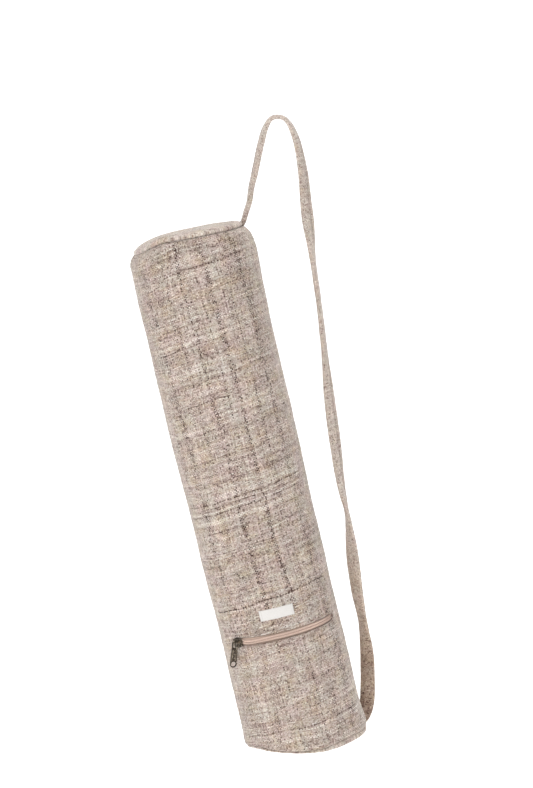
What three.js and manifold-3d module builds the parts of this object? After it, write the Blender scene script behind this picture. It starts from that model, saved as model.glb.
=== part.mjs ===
// A round bag for a rolled exercise mat, hanging from its shoulder strap.
// Millimetres, +Z up. The origin is the underside of the strap's peak, where the strap
// lies over whatever the bag hangs from. The bag leans, top to the left, because
// both ends of the strap are sewn to its right side and its weight hangs below the peak.
import * as THREE from 'three';
import { mergeVertices } from 'three/addons/utils/BufferGeometryUtils.js';
import Module from 'manifold-3d';

const wasm = await Module();
wasm.setup();

// ---------------------------------------------------------------- driving dimensions
const WALL = 2.5;                 // thickness of the woven cloth, one layer felted
const GAP = 0.3;                  // clearance between neighbouring pieces
const BAG_LEAN = 18.14;           // degrees, the bag's axis from vertical, top to the left
const BASE_CENTRE = [105.8, 0, -792.8]; // centre of the base seam
const BASE_LINE_FADE = 70;        // height over which the base line's slant dies out up the wall
const AROUND = 44;                // facets round the bag

const SLOT_LOW = 148.8, SLOT_HIGH = 158.2;  // pocket slot, heights of its two lips
const SLOT_LEFT = -48.5, SLOT_RIGHT = 65;     // pocket slot, azimuths of its ends (0 = front)
const TAPE_THICK = 1.0;
const TAPE_LOW = 143.4, TAPE_HIGH = 163.6;  // the tape reaches behind both lips
const COIL_HALF = 2.1;                      // half the height of the closed coil
const COIL_THICK = 1.6;

const SLIDER_AZ = -43;            // where the slider stands along the slot
const SLIDER_LONG = 12.5, SLIDER_WIDE = 8.6, SLIDER_PLATE = 1.7;
const BRIDGE_RISE = 7.0;          // from the cloth's surface to the bridge bar's centre
const BRIDGE_BAR = 1.8;           // thickness of the bar
const BRIDGE_SPAN = 9.0;          // length of the bridge along the zip

const PULLER_THICK = 1.4;
const PULLER_TOP_W = 8.0, PULLER_END_W = 9.4;
const PULLER_LONG = 27.6;         // bridge bar's centre to the middle of the round end
const PULLER_TURN = 20;           // degrees its face turns away from the front, to the left
const PULLER_EYE_R = 2.25, PULLER_EYE_LONG = 5.6;
const PULLER_HOLE_R = 3.0;

const LABEL_AZ = [-13.6, 19.0];   // left and right edge
const LABEL_LOW = 176.4, LABEL_HIGH = 190.6, LABEL_THICK = 0.8;

const STRAP_W = 20.5;             // width of the strap
const STRAP_T = 6.6;              // thickness, folded cloth
const STRAP_STEP = 15;             // the strap has a section about this often
const STRAP_SIDES = 10;

// Sections of the body, from the base seam up: half width across, half depth,
// and how far the section's middle stands to the right of the axis.
const SECTIONS = [
  { s: -12, wide: 77.6, deep: 78.0, shift: 0.6 },
  { s: 0,   wide: 78.2, deep: 78.4, shift: 0.8 },
  { s: 28,  wide: 78.7, deep: 78.8, shift: 0.6 },
  { s: 64,  wide: 79.0, deep: 79.0, shift: 0.5 },
  { s: 100, wide: 79.3, deep: 79.3, shift: 0.7 },
  { s: 140, wide: 78.9, deep: 79.4, shift: 0.6 },
  { s: 180, wide: 78.6, deep: 79.2, shift: 0.3 },
  { s: 250, wide: 79.5, deep: 79.4, shift: -0.3 },
  { s: 320, wide: 79.3, deep: 79.8, shift: 0.0 },
  { s: 400, wide: 80.3, deep: 80.0, shift: -0.7 },
  { s: 440, wide: 80.7, deep: 80.2, shift: -0.6 },
  { s: 500, wide: 80.1, deep: 80.2, shift: -0.6 },
  { s: 560, wide: 80.5, deep: 80.4, shift: 0.0 },
  { s: 610, wide: 81.2, deep: 80.6, shift: 0.9 },
  { s: 650, wide: 80.9, deep: 80.6, shift: 1.0 },
  { s: 690, wide: 80.6, deep: 80.4, shift: 0.9 },
];

// Soft dents and swellings of the wall: where each is, how far it reaches and how deep
// it goes (minus is a dent). az in degrees, 0 = front, 90 = right, 180 = back.
const DENTS = [
  { az: 100, s: 5,   azReach: 34, sReach: 19, out: 3.1 },   // kicked out by the strap's end
  { az: -90, s: 6,   azReach: 36, sReach: 16, out: 1.3 },
  { az: -90, s: 664, azReach: 36, sReach: 12, out: -1.1 },
  { az: 66,  s: 154, azReach: 12, sReach: 16, out: -1.3 },  // pinch at the slot's right end
  { az: -50, s: 154, azReach: 12, sReach: 16, out: -1.1 },  // and at its left end
  { az: 8,   s: 128, azReach: 60, sReach: 14, out: 0.9 },   // full below the slot
  { az: -30, s: 470, azReach: 36, sReach: 60, out: -1.0 },
  { az: 40,  s: 330, azReach: 34, sReach: 70, out: -0.9 },
  { az: 150, s: 240, azReach: 40, sReach: 80, out: -1.8 },
  { az: 200, s: 430, azReach: 44, sReach: 90, out: -1.6 },
  { az: 96,  s: 640, azReach: 26, sReach: 26, out: 1.4 },   // drawn up by the strap
];

// The base seam isn't level across: how far it lies above or below the axis' zero height.
const BASE_LINE = [
  { v: -80, up: 4.0 },
  { v: -60, up: 7.6 },
  { v: -40, up: 6.6 },
  { v: -20, up: 4.0 },
  { v: 0,   up: 0.8 },
  { v: 20,  up: -2.2 },
  { v: 40,  up: -3.6 },
  { v: 60,  up: -4.8 },
  { v: 80,  up: -7.5 },
];

// Profile of the body's outer face: height, and how far it lies inside the sections.
const BODY_PROFILE = [
  { s: 1.2,   inset: 2.6 },
  { s: 3.4,   inset: 0.9 },
  { s: 7,     inset: 0.2 },
  { s: 18,    inset: 0 },
  { s: 40,    inset: 0 },
  { s: 70,    inset: 0 },
  { s: 104,   inset: 0 },
  { s: 140,   inset: 0 },
  { s: 168,   inset: 0 },
  { s: 210,   inset: 0 },
  { s: 265,   inset: 0 },
  { s: 325,   inset: 0 },
  { s: 385,   inset: 0 },
  { s: 445,   inset: 0 },
  { s: 505,   inset: 0 },
  { s: 565,   inset: 0 },
  { s: 615,   inset: 0 },
  { s: 644,   inset: 0.4 },
  { s: 652,   inset: 1.4 },
  { s: 658.4, inset: 3.2 },
  { s: 663.4, inset: 6.0 },
  { s: 666.6, inset: 8.6 },
  { s: 668.2, inset: 10.4 },
];

// Outer face of the lid: part = distance from the middle as a part of the section's radius.
const LID_PROFILE = [
  { part: 0.872, s: 668.7 },
  { part: 0.882, s: 670.0 },
  { part: 0.872, s: 672.0 },
  { part: 0.82,  s: 674.9 },
  { part: 0.66,  s: 677.4 },
  { part: 0.38,  s: 679.0 },
  { part: 0,     s: 679.4 },
];

// Outer face of the base, from its rim at the seam round the rolled edge to the middle.
const BASE_PROFILE = [
  { part: 0.967, s: 0.6 },
  { part: 0.984, s: -0.6 },
  { part: 0.988, s: -2.2 },
  { part: 0.972, s: -4.4 },
  { part: 0.92,  s: -6.1 },
  { part: 0.74,  s: -7.7 },
  { part: 0.42,  s: -9.4 },
  { part: 0,     s: -10.0 },
];

// Centre line of the strap from the lid seam over the peak to the base seam.
// turn = degrees its width is turned from front-to-back (0 = seen edge on from the front).
const STRAP_ROUTE = [
  { x: -36.6, y: 12.4, z: -139.5, turn: -10 },
  { x: -32.8, y: 12.4, z: -130.5, turn: -10 },
  { x: -30.3, y: 12.2, z: -119.0, turn: -12 },
  { x: -27.5, y: 11.3, z: -105.9, turn: -14 },
  { x: -26.3, y: 10.0, z: -86.5, turn: -14 },
  { x: -23.6, y: 9.0, z: -67.1, turn: -14 },
  { x: -18.8, y: 5.0, z: -28.4, turn: -13 },
  { x: -14.4, y: 2.2, z: -8.3, turn: -9 },
  { x: -8.7, y: 0.8, z: 1.6, turn: -4 },
  { x: -0.4, y: 0.0, z: 4.6, turn: 0 },
  { x: 8.4, y: 0.0, z: 2.8, turn: 4 },
  { x: 15.1, y: 0.0, z: -3.2, turn: 9 },
  { x: 20.4, y: 0.5, z: -11.5, turn: 14 },
  { x: 26.4, y: 1.0, z: -24.3, turn: 19 },
  { x: 37.4, y: 2.0, z: -61.5, turn: 30 },
  { x: 44.5, y: 3.5, z: -99.2, turn: 40 },
  { x: 48.8, y: 4.3, z: -119.3, turn: 43 },
  { x: 53.2, y: 5.0, z: -139.5, turn: 32 },
  { x: 60.7, y: 6.5, z: -174.9, turn: 8 },
  { x: 73.2, y: 9.0, z: -228.3, turn: 7 },
  { x: 85.9, y: 12.0, z: -289.9, turn: 12 },
  { x: 98.3, y: 15.5, z: -352.0, turn: 37 },
  { x: 112.4, y: 19.5, z: -414.6, turn: 39 },
  { x: 123.4, y: 23.0, z: -461.9, turn: 22 },
  { x: 137.6, y: 27.5, z: -509.4, turn: -9 },
  { x: 147.6, y: 32.0, z: -557.6, turn: -46 },
  { x: 158.5, y: 36.5, z: -606.1, turn: -42 },
  { x: 169.9, y: 41.0, z: -646.8, turn: -27 },
  { x: 179.2, y: 45.0, z: -687.7, turn: -54 },
  { x: 185.2, y: 49.0, z: -737.5, turn: -69 },
  { x: 186.0, y: 50.5, z: -757.0, turn: -66 },
  { x: 184.2, y: 51.5, z: -770.5, turn: -60 },
  { x: 179.5, y: 52.5, z: -780.2, turn: -52 },
  { x: 171.4, y: 52.5, z: -784.7, turn: -46 },
  { x: 162.5, y: 51.5, z: -783.9, turn: -43 },
];

// ---------------------------------------------------------------- small helpers
const rad = THREE.MathUtils.degToRad;

// Smooth value of one column of a table at a place, through all its rows (Catmull-Rom).
function column(rows, key, name, at) {
  if (at <= rows[0][key]) return rows[0][name];
  const last = rows.length - 1;
  if (at >= rows[last][key]) return rows[last][name];
  let i = 0;
  while (rows[i + 1][key] < at) i++;
  const a = rows[i], b = rows[i + 1];
  const before = rows[Math.max(i - 1, 0)], after = rows[Math.min(i + 2, last)];
  const span = b[key] - a[key], f = (at - a[key]) / span;
  const slopeA = (b[name] - before[name]) / (b[key] - before[key]) * span;
  const slopeB = (after[name] - a[name]) / (after[key] - a[key]) * span;
  const f2 = f * f, f3 = f2 * f;
  return (2 * f3 - 3 * f2 + 1) * a[name] + (f3 - 2 * f2 + f) * slopeA
    + (3 * f2 - 2 * f3) * b[name] + (f3 - f2) * slopeB;
}

// Difference of two azimuths in degrees, brought to -180..180.
function turnBetween(a, b) {
  return ((a - b + 540) % 360) - 180;
}

// How far the dents move the wall outward at an azimuth and height.
function dentAt(az, s) {
  let out = 0;
  for (const d of DENTS) {
    const u = turnBetween(az, d.az) / d.azReach, v = (s - d.s) / d.sReach;
    out += d.out * Math.exp(-(u * u + v * v));
  }
  return out;
}

// Radius of the wall's outer face at an azimuth (0 = front, 90 = right) and height.
function wallRadius(az, s) {
  const c = Math.cos(rad(az)), n = Math.sin(rad(az));
  const wide = column(SECTIONS, 's', 'wide', s), deep = column(SECTIONS, 's', 'deep', s);
  return 1 / Math.hypot(n / wide, c / deep) + dentAt(az, s);
}

// How far a height moves at a place because the base seam isn't level across.
function slantAt(v, s) {
  const fade = THREE.MathUtils.clamp(1 - s / BASE_LINE_FADE, 0, 1);
  return column(BASE_LINE, 'v', 'up', v) * fade * fade * (3 - 2 * fade);
}

// Point in the bag's own frame (x right, y back, z up its axis) at an azimuth, a height
// and a radius.
function place(az, s, radius) {
  const v = radius * Math.sin(rad(az)), y = -radius * Math.cos(rad(az));
  return new THREE.Vector3(v + column(SECTIONS, 's', 'shift', s), y, s + slantAt(v, s));
}

// Closed surface through rings of equal count; a ring of one point is a pole. With
// joined = true the last ring is joined to the first, else both ends are poles.
function skin(rings, joined) {
  const positions = [], starts = [], index = [];
  for (const ring of rings) {
    starts.push(positions.length / 3);
    for (const p of ring) positions.push(p.x, p.y, p.z);
  }
  const n = Math.max(...rings.map((r) => r.length));
  const pairs = joined ? rings.length : rings.length - 1;
  for (let k = 0; k < pairs; k++) {
    const m = (k + 1) % rings.length, a = starts[k], b = starts[m];
    for (let i = 0; i < n; i++) {
      const j = (i + 1) % n;
      if (rings[k].length === 1) index.push(a, b + i, b + j);
      else if (rings[m].length === 1) index.push(a + j, a + i, b);
      else index.push(a + i, b + i, b + j, a + i, b + j, a + j);
    }
  }
  let volume = 0;
  const p = (q) => new THREE.Vector3().fromArray(positions, 3 * q);
  for (let i = 0; i < index.length; i += 3) {
    volume += p(index[i]).dot(p(index[i + 1]).cross(p(index[i + 2])));
  }
  if (volume < 0) {
    for (let i = 0; i < index.length; i += 3) {
      [index[i + 1], index[i + 2]] = [index[i + 2], index[i + 1]];
    }
  }
  const geometry = new THREE.BufferGeometry();
  geometry.setAttribute('position', new THREE.Float32BufferAttribute(positions, 3));
  geometry.setIndex(index);
  return geometry;
}

function toManifold(source) {
  let g = source.clone();
  for (const name of Object.keys(g.attributes)) if (name !== 'position') g.deleteAttribute(name);
  g = mergeVertices(g, 1e-4);
  return new wasm.Manifold(new wasm.Mesh({
    numProp: 3,
    vertProperties: new Float32Array(g.attributes.position.array),
    triVerts: new Uint32Array(g.index.array),
  }));
}

function toGeometry(manifold) {
  const mesh = manifold.getMesh();
  const g = new THREE.BufferGeometry();
  const step = mesh.numProp, count = mesh.vertProperties.length / step;
  const positions = new Float32Array(count * 3);
  for (let i = 0; i < count; i++) {
    for (let k = 0; k < 3; k++) positions[3 * i + k] = mesh.vertProperties[step * i + k];
  }
  g.setAttribute('position', new THREE.BufferAttribute(positions, 3));
  g.setIndex(new THREE.BufferAttribute(new Uint32Array(mesh.triVerts), 1));
  return g;
}

// ---------------------------------------------------------------- cloth shells
// A ring of points all round the bag at one row of a profile.
function ringAt(radiusOf, s) {
  const ring = [];
  for (let i = 0; i < AROUND; i++) {
    const az = 360 * i / AROUND;
    ring.push(place(az, s, radiusOf(az)));
  }
  return ring;
}

// The body's profile moved inward across the wall by a depth.
function bodyRing(row, k, depth) {
  const before = BODY_PROFILE[Math.max(k - 1, 0)];
  const after = BODY_PROFILE[Math.min(k + 1, BODY_PROFILE.length - 1)];
  const ds = after.s - before.s, dr = -(after.inset - before.inset);
  const len = Math.hypot(ds, dr);
  const inward = depth * ds / len, along = depth * dr / len;
  return ringAt((az) => wallRadius(az, row.s) - row.inset - inward, row.s + along);
}

function bodyShell() {
  const outer = BODY_PROFILE.map((row, k) => bodyRing(row, k, 0));
  const inner = BODY_PROFILE.map((row, k) => bodyRing(row, k, WALL)).reverse();
  return skin([...outer, ...inner], true);
}

// A disc with a thickness: the outer profile, and the same profile pushed inward.
function discShell(profile, side) {
  const ring = (row, k, depth) => {
    const before = profile[Math.max(k - 1, 0)];
    const after = profile[Math.min(k + 1, profile.length - 1)];
    const R = wallRadius(0, row.s);
    const dr = (after.part - before.part) * R, ds = after.s - before.s;
    const len = Math.hypot(dr, ds);
    // the inward normal points to the axis and towards the bag's middle
    let nr = -ds / len * side, ns = dr / len * side;
    if (row.part === 0) { nr = 0; ns = -side; }
    const s = row.s + ns * depth;
    if (row.part === 0) return [place(0, s, 0)];
    return ringAt((az) => wallRadius(az, row.s) * row.part + nr * depth, s);
  };
  const outer = profile.map((row, k) => ring(row, k, 0));
  const inner = profile.map((row, k) => ring(row, k, WALL)).reverse();
  return skin([outer[outer.length - 1], ...outer.slice(0, -1).reverse(),
    ...inner.slice(1).reverse(), inner[0]], false);
}

// A curved slab that follows the wall: azimuth from..to, height low..high,
// and its two faces at distances near and far from the wall's outer face.
function wallSlab(from, to, low, high, near, far, steps) {
  const rings = [];
  for (let i = 0; i <= steps; i++) {
    const az = from + (to - from) * i / steps;
    rings.push([[low, near], [low, far], [high, far], [high, near]]
      .map(([s, d]) => place(az, s, wallRadius(az, s) + d)));
  }
  return capped(rings);
}

// Closed tube through rings, with flat ends.
function capped(rings) {
  const middle = (ring) => {
    const c = new THREE.Vector3();
    for (const p of ring) c.add(p);
    return c.divideScalar(ring.length);
  };
  return skin([[middle(rings[0])], ...rings, [middle(rings[rings.length - 1])]], false);
}

// ---------------------------------------------------------------- body, lid, base
const slotSteps = 46;
const slotCutter = toManifold(wallSlab(SLOT_LEFT, SLOT_RIGHT, SLOT_LOW, SLOT_HIGH, -9, 9, slotSteps));
const bodyGeometry = toGeometry(toManifold(bodyShell()).subtract(slotCutter));
const lidGeometry = discShell(LID_PROFILE, 1);
const baseGeometry = discShell(BASE_PROFILE, -1);

// ---------------------------------------------------------------- pocket zip
const slotMiddle = (SLOT_LOW + SLOT_HIGH) / 2;
const tapeFar = -(WALL + GAP + 0.2), tapeNear = tapeFar - TAPE_THICK;
const coilNear = tapeFar + GAP + 0.1, coilFar = coilNear + COIL_THICK;
const tapeFrom = SLOT_LEFT - 6, tapeTo = SLOT_RIGHT + 6;
// The slider's own frame: x along the zip to the right, y up the bag, z out of the cloth.
const sliderSurface = place(SLIDER_AZ, slotMiddle, wallRadius(SLIDER_AZ, slotMiddle));
const sliderX = new THREE.Vector3(Math.cos(rad(SLIDER_AZ)), Math.sin(rad(SLIDER_AZ)), 0);
const sliderZ = new THREE.Vector3(Math.sin(rad(SLIDER_AZ)), -Math.cos(rad(SLIDER_AZ)), 0);
const sliderY = new THREE.Vector3(0, 0, 1);
const sliderFrame = new THREE.Matrix4().makeBasis(sliderX, sliderY, sliderZ)
  .setPosition(sliderSurface);

const POST_X = -4.2, POST_R = 1.1;        // post that joins the slider's two plates
const postClear = new THREE.CylinderGeometry(POST_R + GAP, POST_R + GAP, 16, 16);
postClear.rotateX(Math.PI / 2);
postClear.translate(POST_X, 0, 0);
postClear.applyMatrix4(sliderFrame);
const postCutter = toManifold(postClear);
const tapeUpper = toGeometry(toManifold(
  wallSlab(tapeFrom, tapeTo, slotMiddle + 0.2, TAPE_HIGH, tapeNear, tapeFar, 28)).subtract(postCutter));
const tapeLower = toGeometry(toManifold(
  wallSlab(tapeFrom, tapeTo, TAPE_LOW, slotMiddle - 0.2, tapeNear, tapeFar, 28)).subtract(postCutter));
// The coil is closed right of the slider's post.
const coilFrom = SLIDER_AZ - 1.2;
const coil = wallSlab(coilFrom, SLOT_RIGHT - 0.4, slotMiddle - COIL_HALF, slotMiddle + COIL_HALF,
  coilNear, coilFar, 28);

// Outline of a slider plate: broad at the end where the two halves come in, x to the right.
function plateOutline(grow) {
  const l = SLIDER_LONG / 2 + grow, w = SLIDER_WIDE / 2 + grow, n = w * 0.72, r = 1.6;
  const shape = new THREE.Shape();
  shape.moveTo(l - r, -n);
  shape.quadraticCurveTo(l, -n, l, -n + r);
  shape.lineTo(l, n - r);
  shape.quadraticCurveTo(l, n, l - r, n);
  shape.lineTo(-l * 0.1, w);
  shape.lineTo(-l + r, w);
  shape.quadraticCurveTo(-l, w, -l, w - r);
  shape.lineTo(-l, -w + r);
  shape.quadraticCurveTo(-l, -w, -l + r, -w);
  shape.lineTo(-l * 0.1, -w);
  shape.closePath();
  return shape;
}

function sliderGeometry() {
  const plateBase = -WALL + COIL_THICK + 2 * GAP;     // just over the coil
  const top = new THREE.ExtrudeGeometry(plateOutline(0), { depth: SLIDER_PLATE, bevelEnabled: false, curveSegments: 3 });
  top.translate(0, 0, plateBase);
  const bottom = new THREE.ExtrudeGeometry(plateOutline(0), { depth: 1.3, bevelEnabled: false, curveSegments: 3 });
  bottom.translate(0, 0, tapeNear - GAP - 0.9 - 1.3);
  const post = new THREE.CylinderGeometry(POST_R, POST_R, 8, 12);
  post.rotateX(Math.PI / 2);
  post.translate(POST_X, 0, plateBase + 0.6 - 4);
  // bridge: an arch over the plate, seen from its side, with a window for the pull tab's eye
  const h = BRIDGE_SPAN / 2, roof = BRIDGE_RISE + BRIDGE_BAR / 2, floor = plateBase + SLIDER_PLATE - 0.3;
  const arch = new THREE.Shape();
  arch.moveTo(-h, floor);
  arch.lineTo(-h, roof - 2.2);
  arch.quadraticCurveTo(-h, roof, -h + 2.4, roof);
  arch.lineTo(h - 2.4, roof);
  arch.quadraticCurveTo(h, roof, h, roof - 2.2);
  arch.lineTo(h, floor);
  arch.lineTo(h - 1.7, floor);
  arch.lineTo(h - 1.7, roof - 3.0);
  arch.quadraticCurveTo(h - 1.8, roof - BRIDGE_BAR, h - 2.8, roof - BRIDGE_BAR);
  arch.lineTo(-h + 2.8, roof - BRIDGE_BAR);
  arch.quadraticCurveTo(-h + 1.8, roof - BRIDGE_BAR, -h + 1.7, roof - 3.0);
  arch.lineTo(-h + 1.7, floor);
  arch.closePath();
  const bridge = new THREE.ExtrudeGeometry(arch, { depth: BRIDGE_BAR, bevelEnabled: false, curveSegments: 3 });
  bridge.translate(0, 0, -BRIDGE_BAR / 2);
  bridge.rotateX(Math.PI / 2);             // the arch stands in the x-z plane
  const solid = toManifold(top).add(toManifold(bridge)).add(toManifold(post)).add(toManifold(bottom));
  return toGeometry(solid).applyMatrix4(sliderFrame);
}

// ---------------------------------------------------------------- label
const label = wallSlab(LABEL_AZ[0], LABEL_AZ[1], LABEL_LOW, LABEL_HIGH, GAP, GAP + LABEL_THICK, 16);

// ---------------------------------------------------------------- strap
// Curve through the route's rows, and the turn of its width at each place.
const strapCurve = new THREE.CatmullRomCurve3(
  STRAP_ROUTE.map((r) => new THREE.Vector3(r.x, r.y, r.z)), false, 'centripetal');

function strapSection(f) {
  const rows = STRAP_ROUTE.map((r, i) => ({ i, turn: r.turn }));
  const at = f * (STRAP_ROUTE.length - 1);
  const centre = strapCurve.getPoint(f), tangent = strapCurve.getTangent(f);
  const turn = rad(column(rows, 'i', 'turn', at));
  const w = new THREE.Vector3(Math.sin(turn), Math.cos(turn), 0);
  w.addScaledVector(tangent, -w.dot(tangent)).normalize();
  const t = new THREE.Vector3().crossVectors(tangent, w).normalize();
  const ring = [];
  for (let i = 0; i < STRAP_SIDES; i++) {
    const a = 2 * Math.PI * i / STRAP_SIDES;
    // a flat oval: rounder than a plate, fuller than an ellipse
    const c = Math.cos(a), n = Math.sin(a);
    const cu = Math.sign(c) * Math.pow(Math.abs(c), 0.72) * STRAP_W / 2;
    const nu = Math.sign(n) * Math.pow(Math.abs(n), 0.72) * STRAP_T / 2;
    ring.push(centre.clone().addScaledVector(w, cu).addScaledVector(t, nu));
  }
  return ring;
}

// Places along the route, two to four between each two of its rows.
function strapSteps() {
  const last = STRAP_ROUTE.length - 1, steps = [];
  for (let i = 0; i < last; i++) {
    const a = STRAP_ROUTE[i], b = STRAP_ROUTE[i + 1];
    const apart = Math.hypot(b.x - a.x, b.y - a.y, b.z - a.z);
    const parts = THREE.MathUtils.clamp(Math.round(apart / STRAP_STEP), 2, 4);
    for (let k = 0; k < parts; k++) steps.push((i + k / parts) / last);
  }
  steps.push(1);
  return steps;
}

// ---------------------------------------------------------------- pull tab
// Its plane is upright. In that plane: p points out from the bag, z up. The middle of the
// eye's upper arc is the middle of the bridge's bar, which it swings about.
function pullerGeometry(pivotWorld) {
  const shape = new THREE.Shape();
  const topW = PULLER_TOP_W / 2, endW = PULLER_END_W / 2, low = -PULLER_LONG;
  const rise = PULLER_EYE_R + 1.5;
  shape.moveTo(-topW, -1);
  shape.bezierCurveTo(-topW, rise - 0.9, -topW + 1.6, rise, 0, rise);
  shape.bezierCurveTo(topW - 1.6, rise, topW, rise - 0.9, topW, -1);
  shape.lineTo(topW, -9);
  shape.lineTo(endW, low);
  shape.absarc(0, low, endW, 0, -Math.PI, true);
  shape.lineTo(-topW, -9);
  shape.closePath();
  const eye = new THREE.Path();
  eye.absarc(0, 0, PULLER_EYE_R, 0, Math.PI, false);
  eye.lineTo(-PULLER_EYE_R, -PULLER_EYE_LONG);
  eye.absarc(0, -PULLER_EYE_LONG, PULLER_EYE_R, Math.PI, 2 * Math.PI, false);
  eye.closePath();
  const hole = new THREE.Path();
  hole.absarc(0, low, PULLER_HOLE_R, 0, 2 * Math.PI, false);
  shape.holes.push(eye, hole);
  const g = new THREE.ExtrudeGeometry(shape, { depth: PULLER_THICK, bevelEnabled: false, curveSegments: 8 });
  g.translate(0, 0, -PULLER_THICK / 2);
  // shape x -> p (out from the bag), shape y -> up, extrusion -> across
  const p = new THREE.Vector3(-Math.cos(rad(PULLER_TURN)), -Math.sin(rad(PULLER_TURN)), 0);
  const up = new THREE.Vector3(0, 0, 1);
  const across = new THREE.Vector3().crossVectors(p, up);
  g.applyMatrix4(new THREE.Matrix4().makeBasis(p, up, across).setPosition(pivotWorld));
  return g;
}

// ---------------------------------------------------------------- the object
const cloth = (hex) => new THREE.MeshStandardMaterial({ color: hex, roughness: 0.95, metalness: 0 });
const zipCloth = () => new THREE.MeshStandardMaterial({ color: 0xc9ab98, roughness: 0.8, metalness: 0 });
const bronze = () => new THREE.MeshStandardMaterial({ color: 0x3a332c, roughness: 0.4, metalness: 1 });

const object = new THREE.Group();
const bag = new THREE.Group();
bag.position.set(...BASE_CENTRE);
bag.rotation.y = -rad(BAG_LEAN);
object.add(bag);
bag.updateMatrixWorld(true);
const bagMatrix = new THREE.Matrix4().makeRotationY(-rad(BAG_LEAN)).setPosition(...BASE_CENTRE);

function piece(name, geometry, material, parent) {
  const mesh = new THREE.Mesh(geometry, material);
  mesh.name = name;
  parent.add(mesh);
  return mesh;
}

piece('body', bodyGeometry, cloth(0xb5a493), bag);
piece('lid', lidGeometry, cloth(0xb9a999), bag);
piece('base', baseGeometry, cloth(0xae9d8c), bag);
piece('pocket_zip_tape_upper', tapeUpper, zipCloth(), bag);
piece('pocket_zip_tape_lower', tapeLower, zipCloth(), bag);
piece('pocket_zip_coil', coil, zipCloth(), bag);
piece('zip_slider', sliderGeometry(), bronze(), bag);
piece('label', label, new THREE.MeshStandardMaterial({ color: 0xf2efea, roughness: 0.9, metalness: 0 }), bag);

const pivot = new THREE.Vector3(0, 0, BRIDGE_RISE).applyMatrix4(sliderFrame).applyMatrix4(bagMatrix);
piece('zip_puller', pullerGeometry(pivot), bronze(), object);

// The strap keeps clear of the cloth at both its ends: the bag's outer form, a little
// larger, is cut from it.
function bagForm(grow) {
  const rings = [];
  const top = LID_PROFILE, low = BASE_PROFILE;
  const disc = (row) => ringAt((az) => wallRadius(az, row.s) * row.part + grow, row.s + (row.s > 300 ? grow : -grow));
  rings.push([place(0, low[low.length - 1].s - grow, 0)]);
  for (const row of low.slice(0, -1).reverse()) rings.push(disc(row));
  BODY_PROFILE.forEach((row) => rings.push(ringAt((az) => wallRadius(az, row.s) - row.inset + grow, row.s)));
  for (const row of top.slice(0, -1)) rings.push(disc(row));
  rings.push([place(0, top[top.length - 1].s + grow, 0)]);
  return skin(rings, false).applyMatrix4(bagMatrix);
}
const strapSolid = toManifold(capped(strapSteps().map(strapSection)));
const strapFree = strapSolid.subtract(toManifold(bagForm(0.6))).decompose()
  .sort((a, b) => b.volume() - a.volume())[0];
piece('strap', toGeometry(strapFree), cloth(0xb3a08d), object);

export default object;
export const facts = {
  pivot: pivot.toArray(),
  strapLength: strapCurve.getLength(),
};
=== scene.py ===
"""A long round handwoven cloth bag for a rolled exercise mat, hanging from its shoulder strap.

The tables and the shape functions below are those of the bag's construction, in millimetres:
a bag frame with v to the right, y to the back and s up the bag's axis, turned by the lean.
"""

import math

import bpy
import numpy as np
from mathutils import Matrix, Vector


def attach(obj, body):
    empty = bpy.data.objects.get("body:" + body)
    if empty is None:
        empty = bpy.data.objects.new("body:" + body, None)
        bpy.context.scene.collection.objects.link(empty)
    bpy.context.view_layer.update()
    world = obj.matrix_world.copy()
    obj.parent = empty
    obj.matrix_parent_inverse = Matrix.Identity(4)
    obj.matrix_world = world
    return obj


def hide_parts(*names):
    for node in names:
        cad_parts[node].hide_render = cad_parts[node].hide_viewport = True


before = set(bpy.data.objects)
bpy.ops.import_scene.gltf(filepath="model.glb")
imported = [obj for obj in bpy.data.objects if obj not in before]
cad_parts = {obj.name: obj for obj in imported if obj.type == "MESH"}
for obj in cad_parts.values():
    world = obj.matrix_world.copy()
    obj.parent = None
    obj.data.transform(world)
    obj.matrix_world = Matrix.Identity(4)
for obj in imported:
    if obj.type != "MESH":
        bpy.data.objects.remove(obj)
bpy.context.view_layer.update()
MM = 0.001

# ------------------------------------------------------------------ camera
EYE = Vector((-0.0180, -2.9593, 0.0388))
FORWARD = Vector((0.01138, 0.99144, -0.13003)).normalized()
RIGHT = Vector((0.99619, 0.0, 0.08716)).normalized()
UP = RIGHT.cross(FORWARD).normalized()

camera_data = bpy.data.cameras.new("camera")
camera_data.sensor_fit = "VERTICAL"
camera_data.sensor_width = camera_data.sensor_height = 36.0
camera_data.lens = 105.83
camera_data.clip_start, camera_data.clip_end = 0.05, 60.0
camera = bpy.data.objects.new("camera", camera_data)
turn = Matrix((RIGHT, UP, -FORWARD)).transposed()
camera.matrix_world = Matrix.Translation(EYE) @ turn.to_4x4()
bpy.context.scene.collection.objects.link(camera)
bpy.context.scene.camera = camera

# ------------------------------------------------------------------ driving dimensions
WALL, GAP = 2.5, 0.3
LEAN = math.radians(18.14)
BASE_CENTRE = np.array([105.8, 0.0, -792.8])
AXIS_V = np.array([math.cos(LEAN), 0.0, math.sin(LEAN)])
AXIS_Y = np.array([0.0, 1.0, 0.0])
AXIS_S = np.array([-math.sin(LEAN), 0.0, math.cos(LEAN)])
BASE_LINE_FADE = 70.0
SLOT_LOW, SLOT_HIGH, SLOT_LEFT, SLOT_RIGHT = 148.8, 158.2, -48.5, 65.0
SLOT_MIDDLE = (SLOT_LOW + SLOT_HIGH) / 2
TAPE_LOW, TAPE_HIGH, TAPE_THICK = 143.4, 163.6, 1.0
COIL_HALF, COIL_THICK = 2.1, 1.6
TAPE_FAR = -(WALL + GAP + 0.2)
COIL_NEAR = TAPE_FAR + GAP + 0.1
SLIDER_AZ, SLIDER_LONG, SLIDER_WIDE, SLIDER_PLATE = -43.0, 12.5, 8.6, 1.7
BRIDGE_RISE, BRIDGE_BAR, BRIDGE_SPAN = 7.0, 1.8, 9.0
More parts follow.
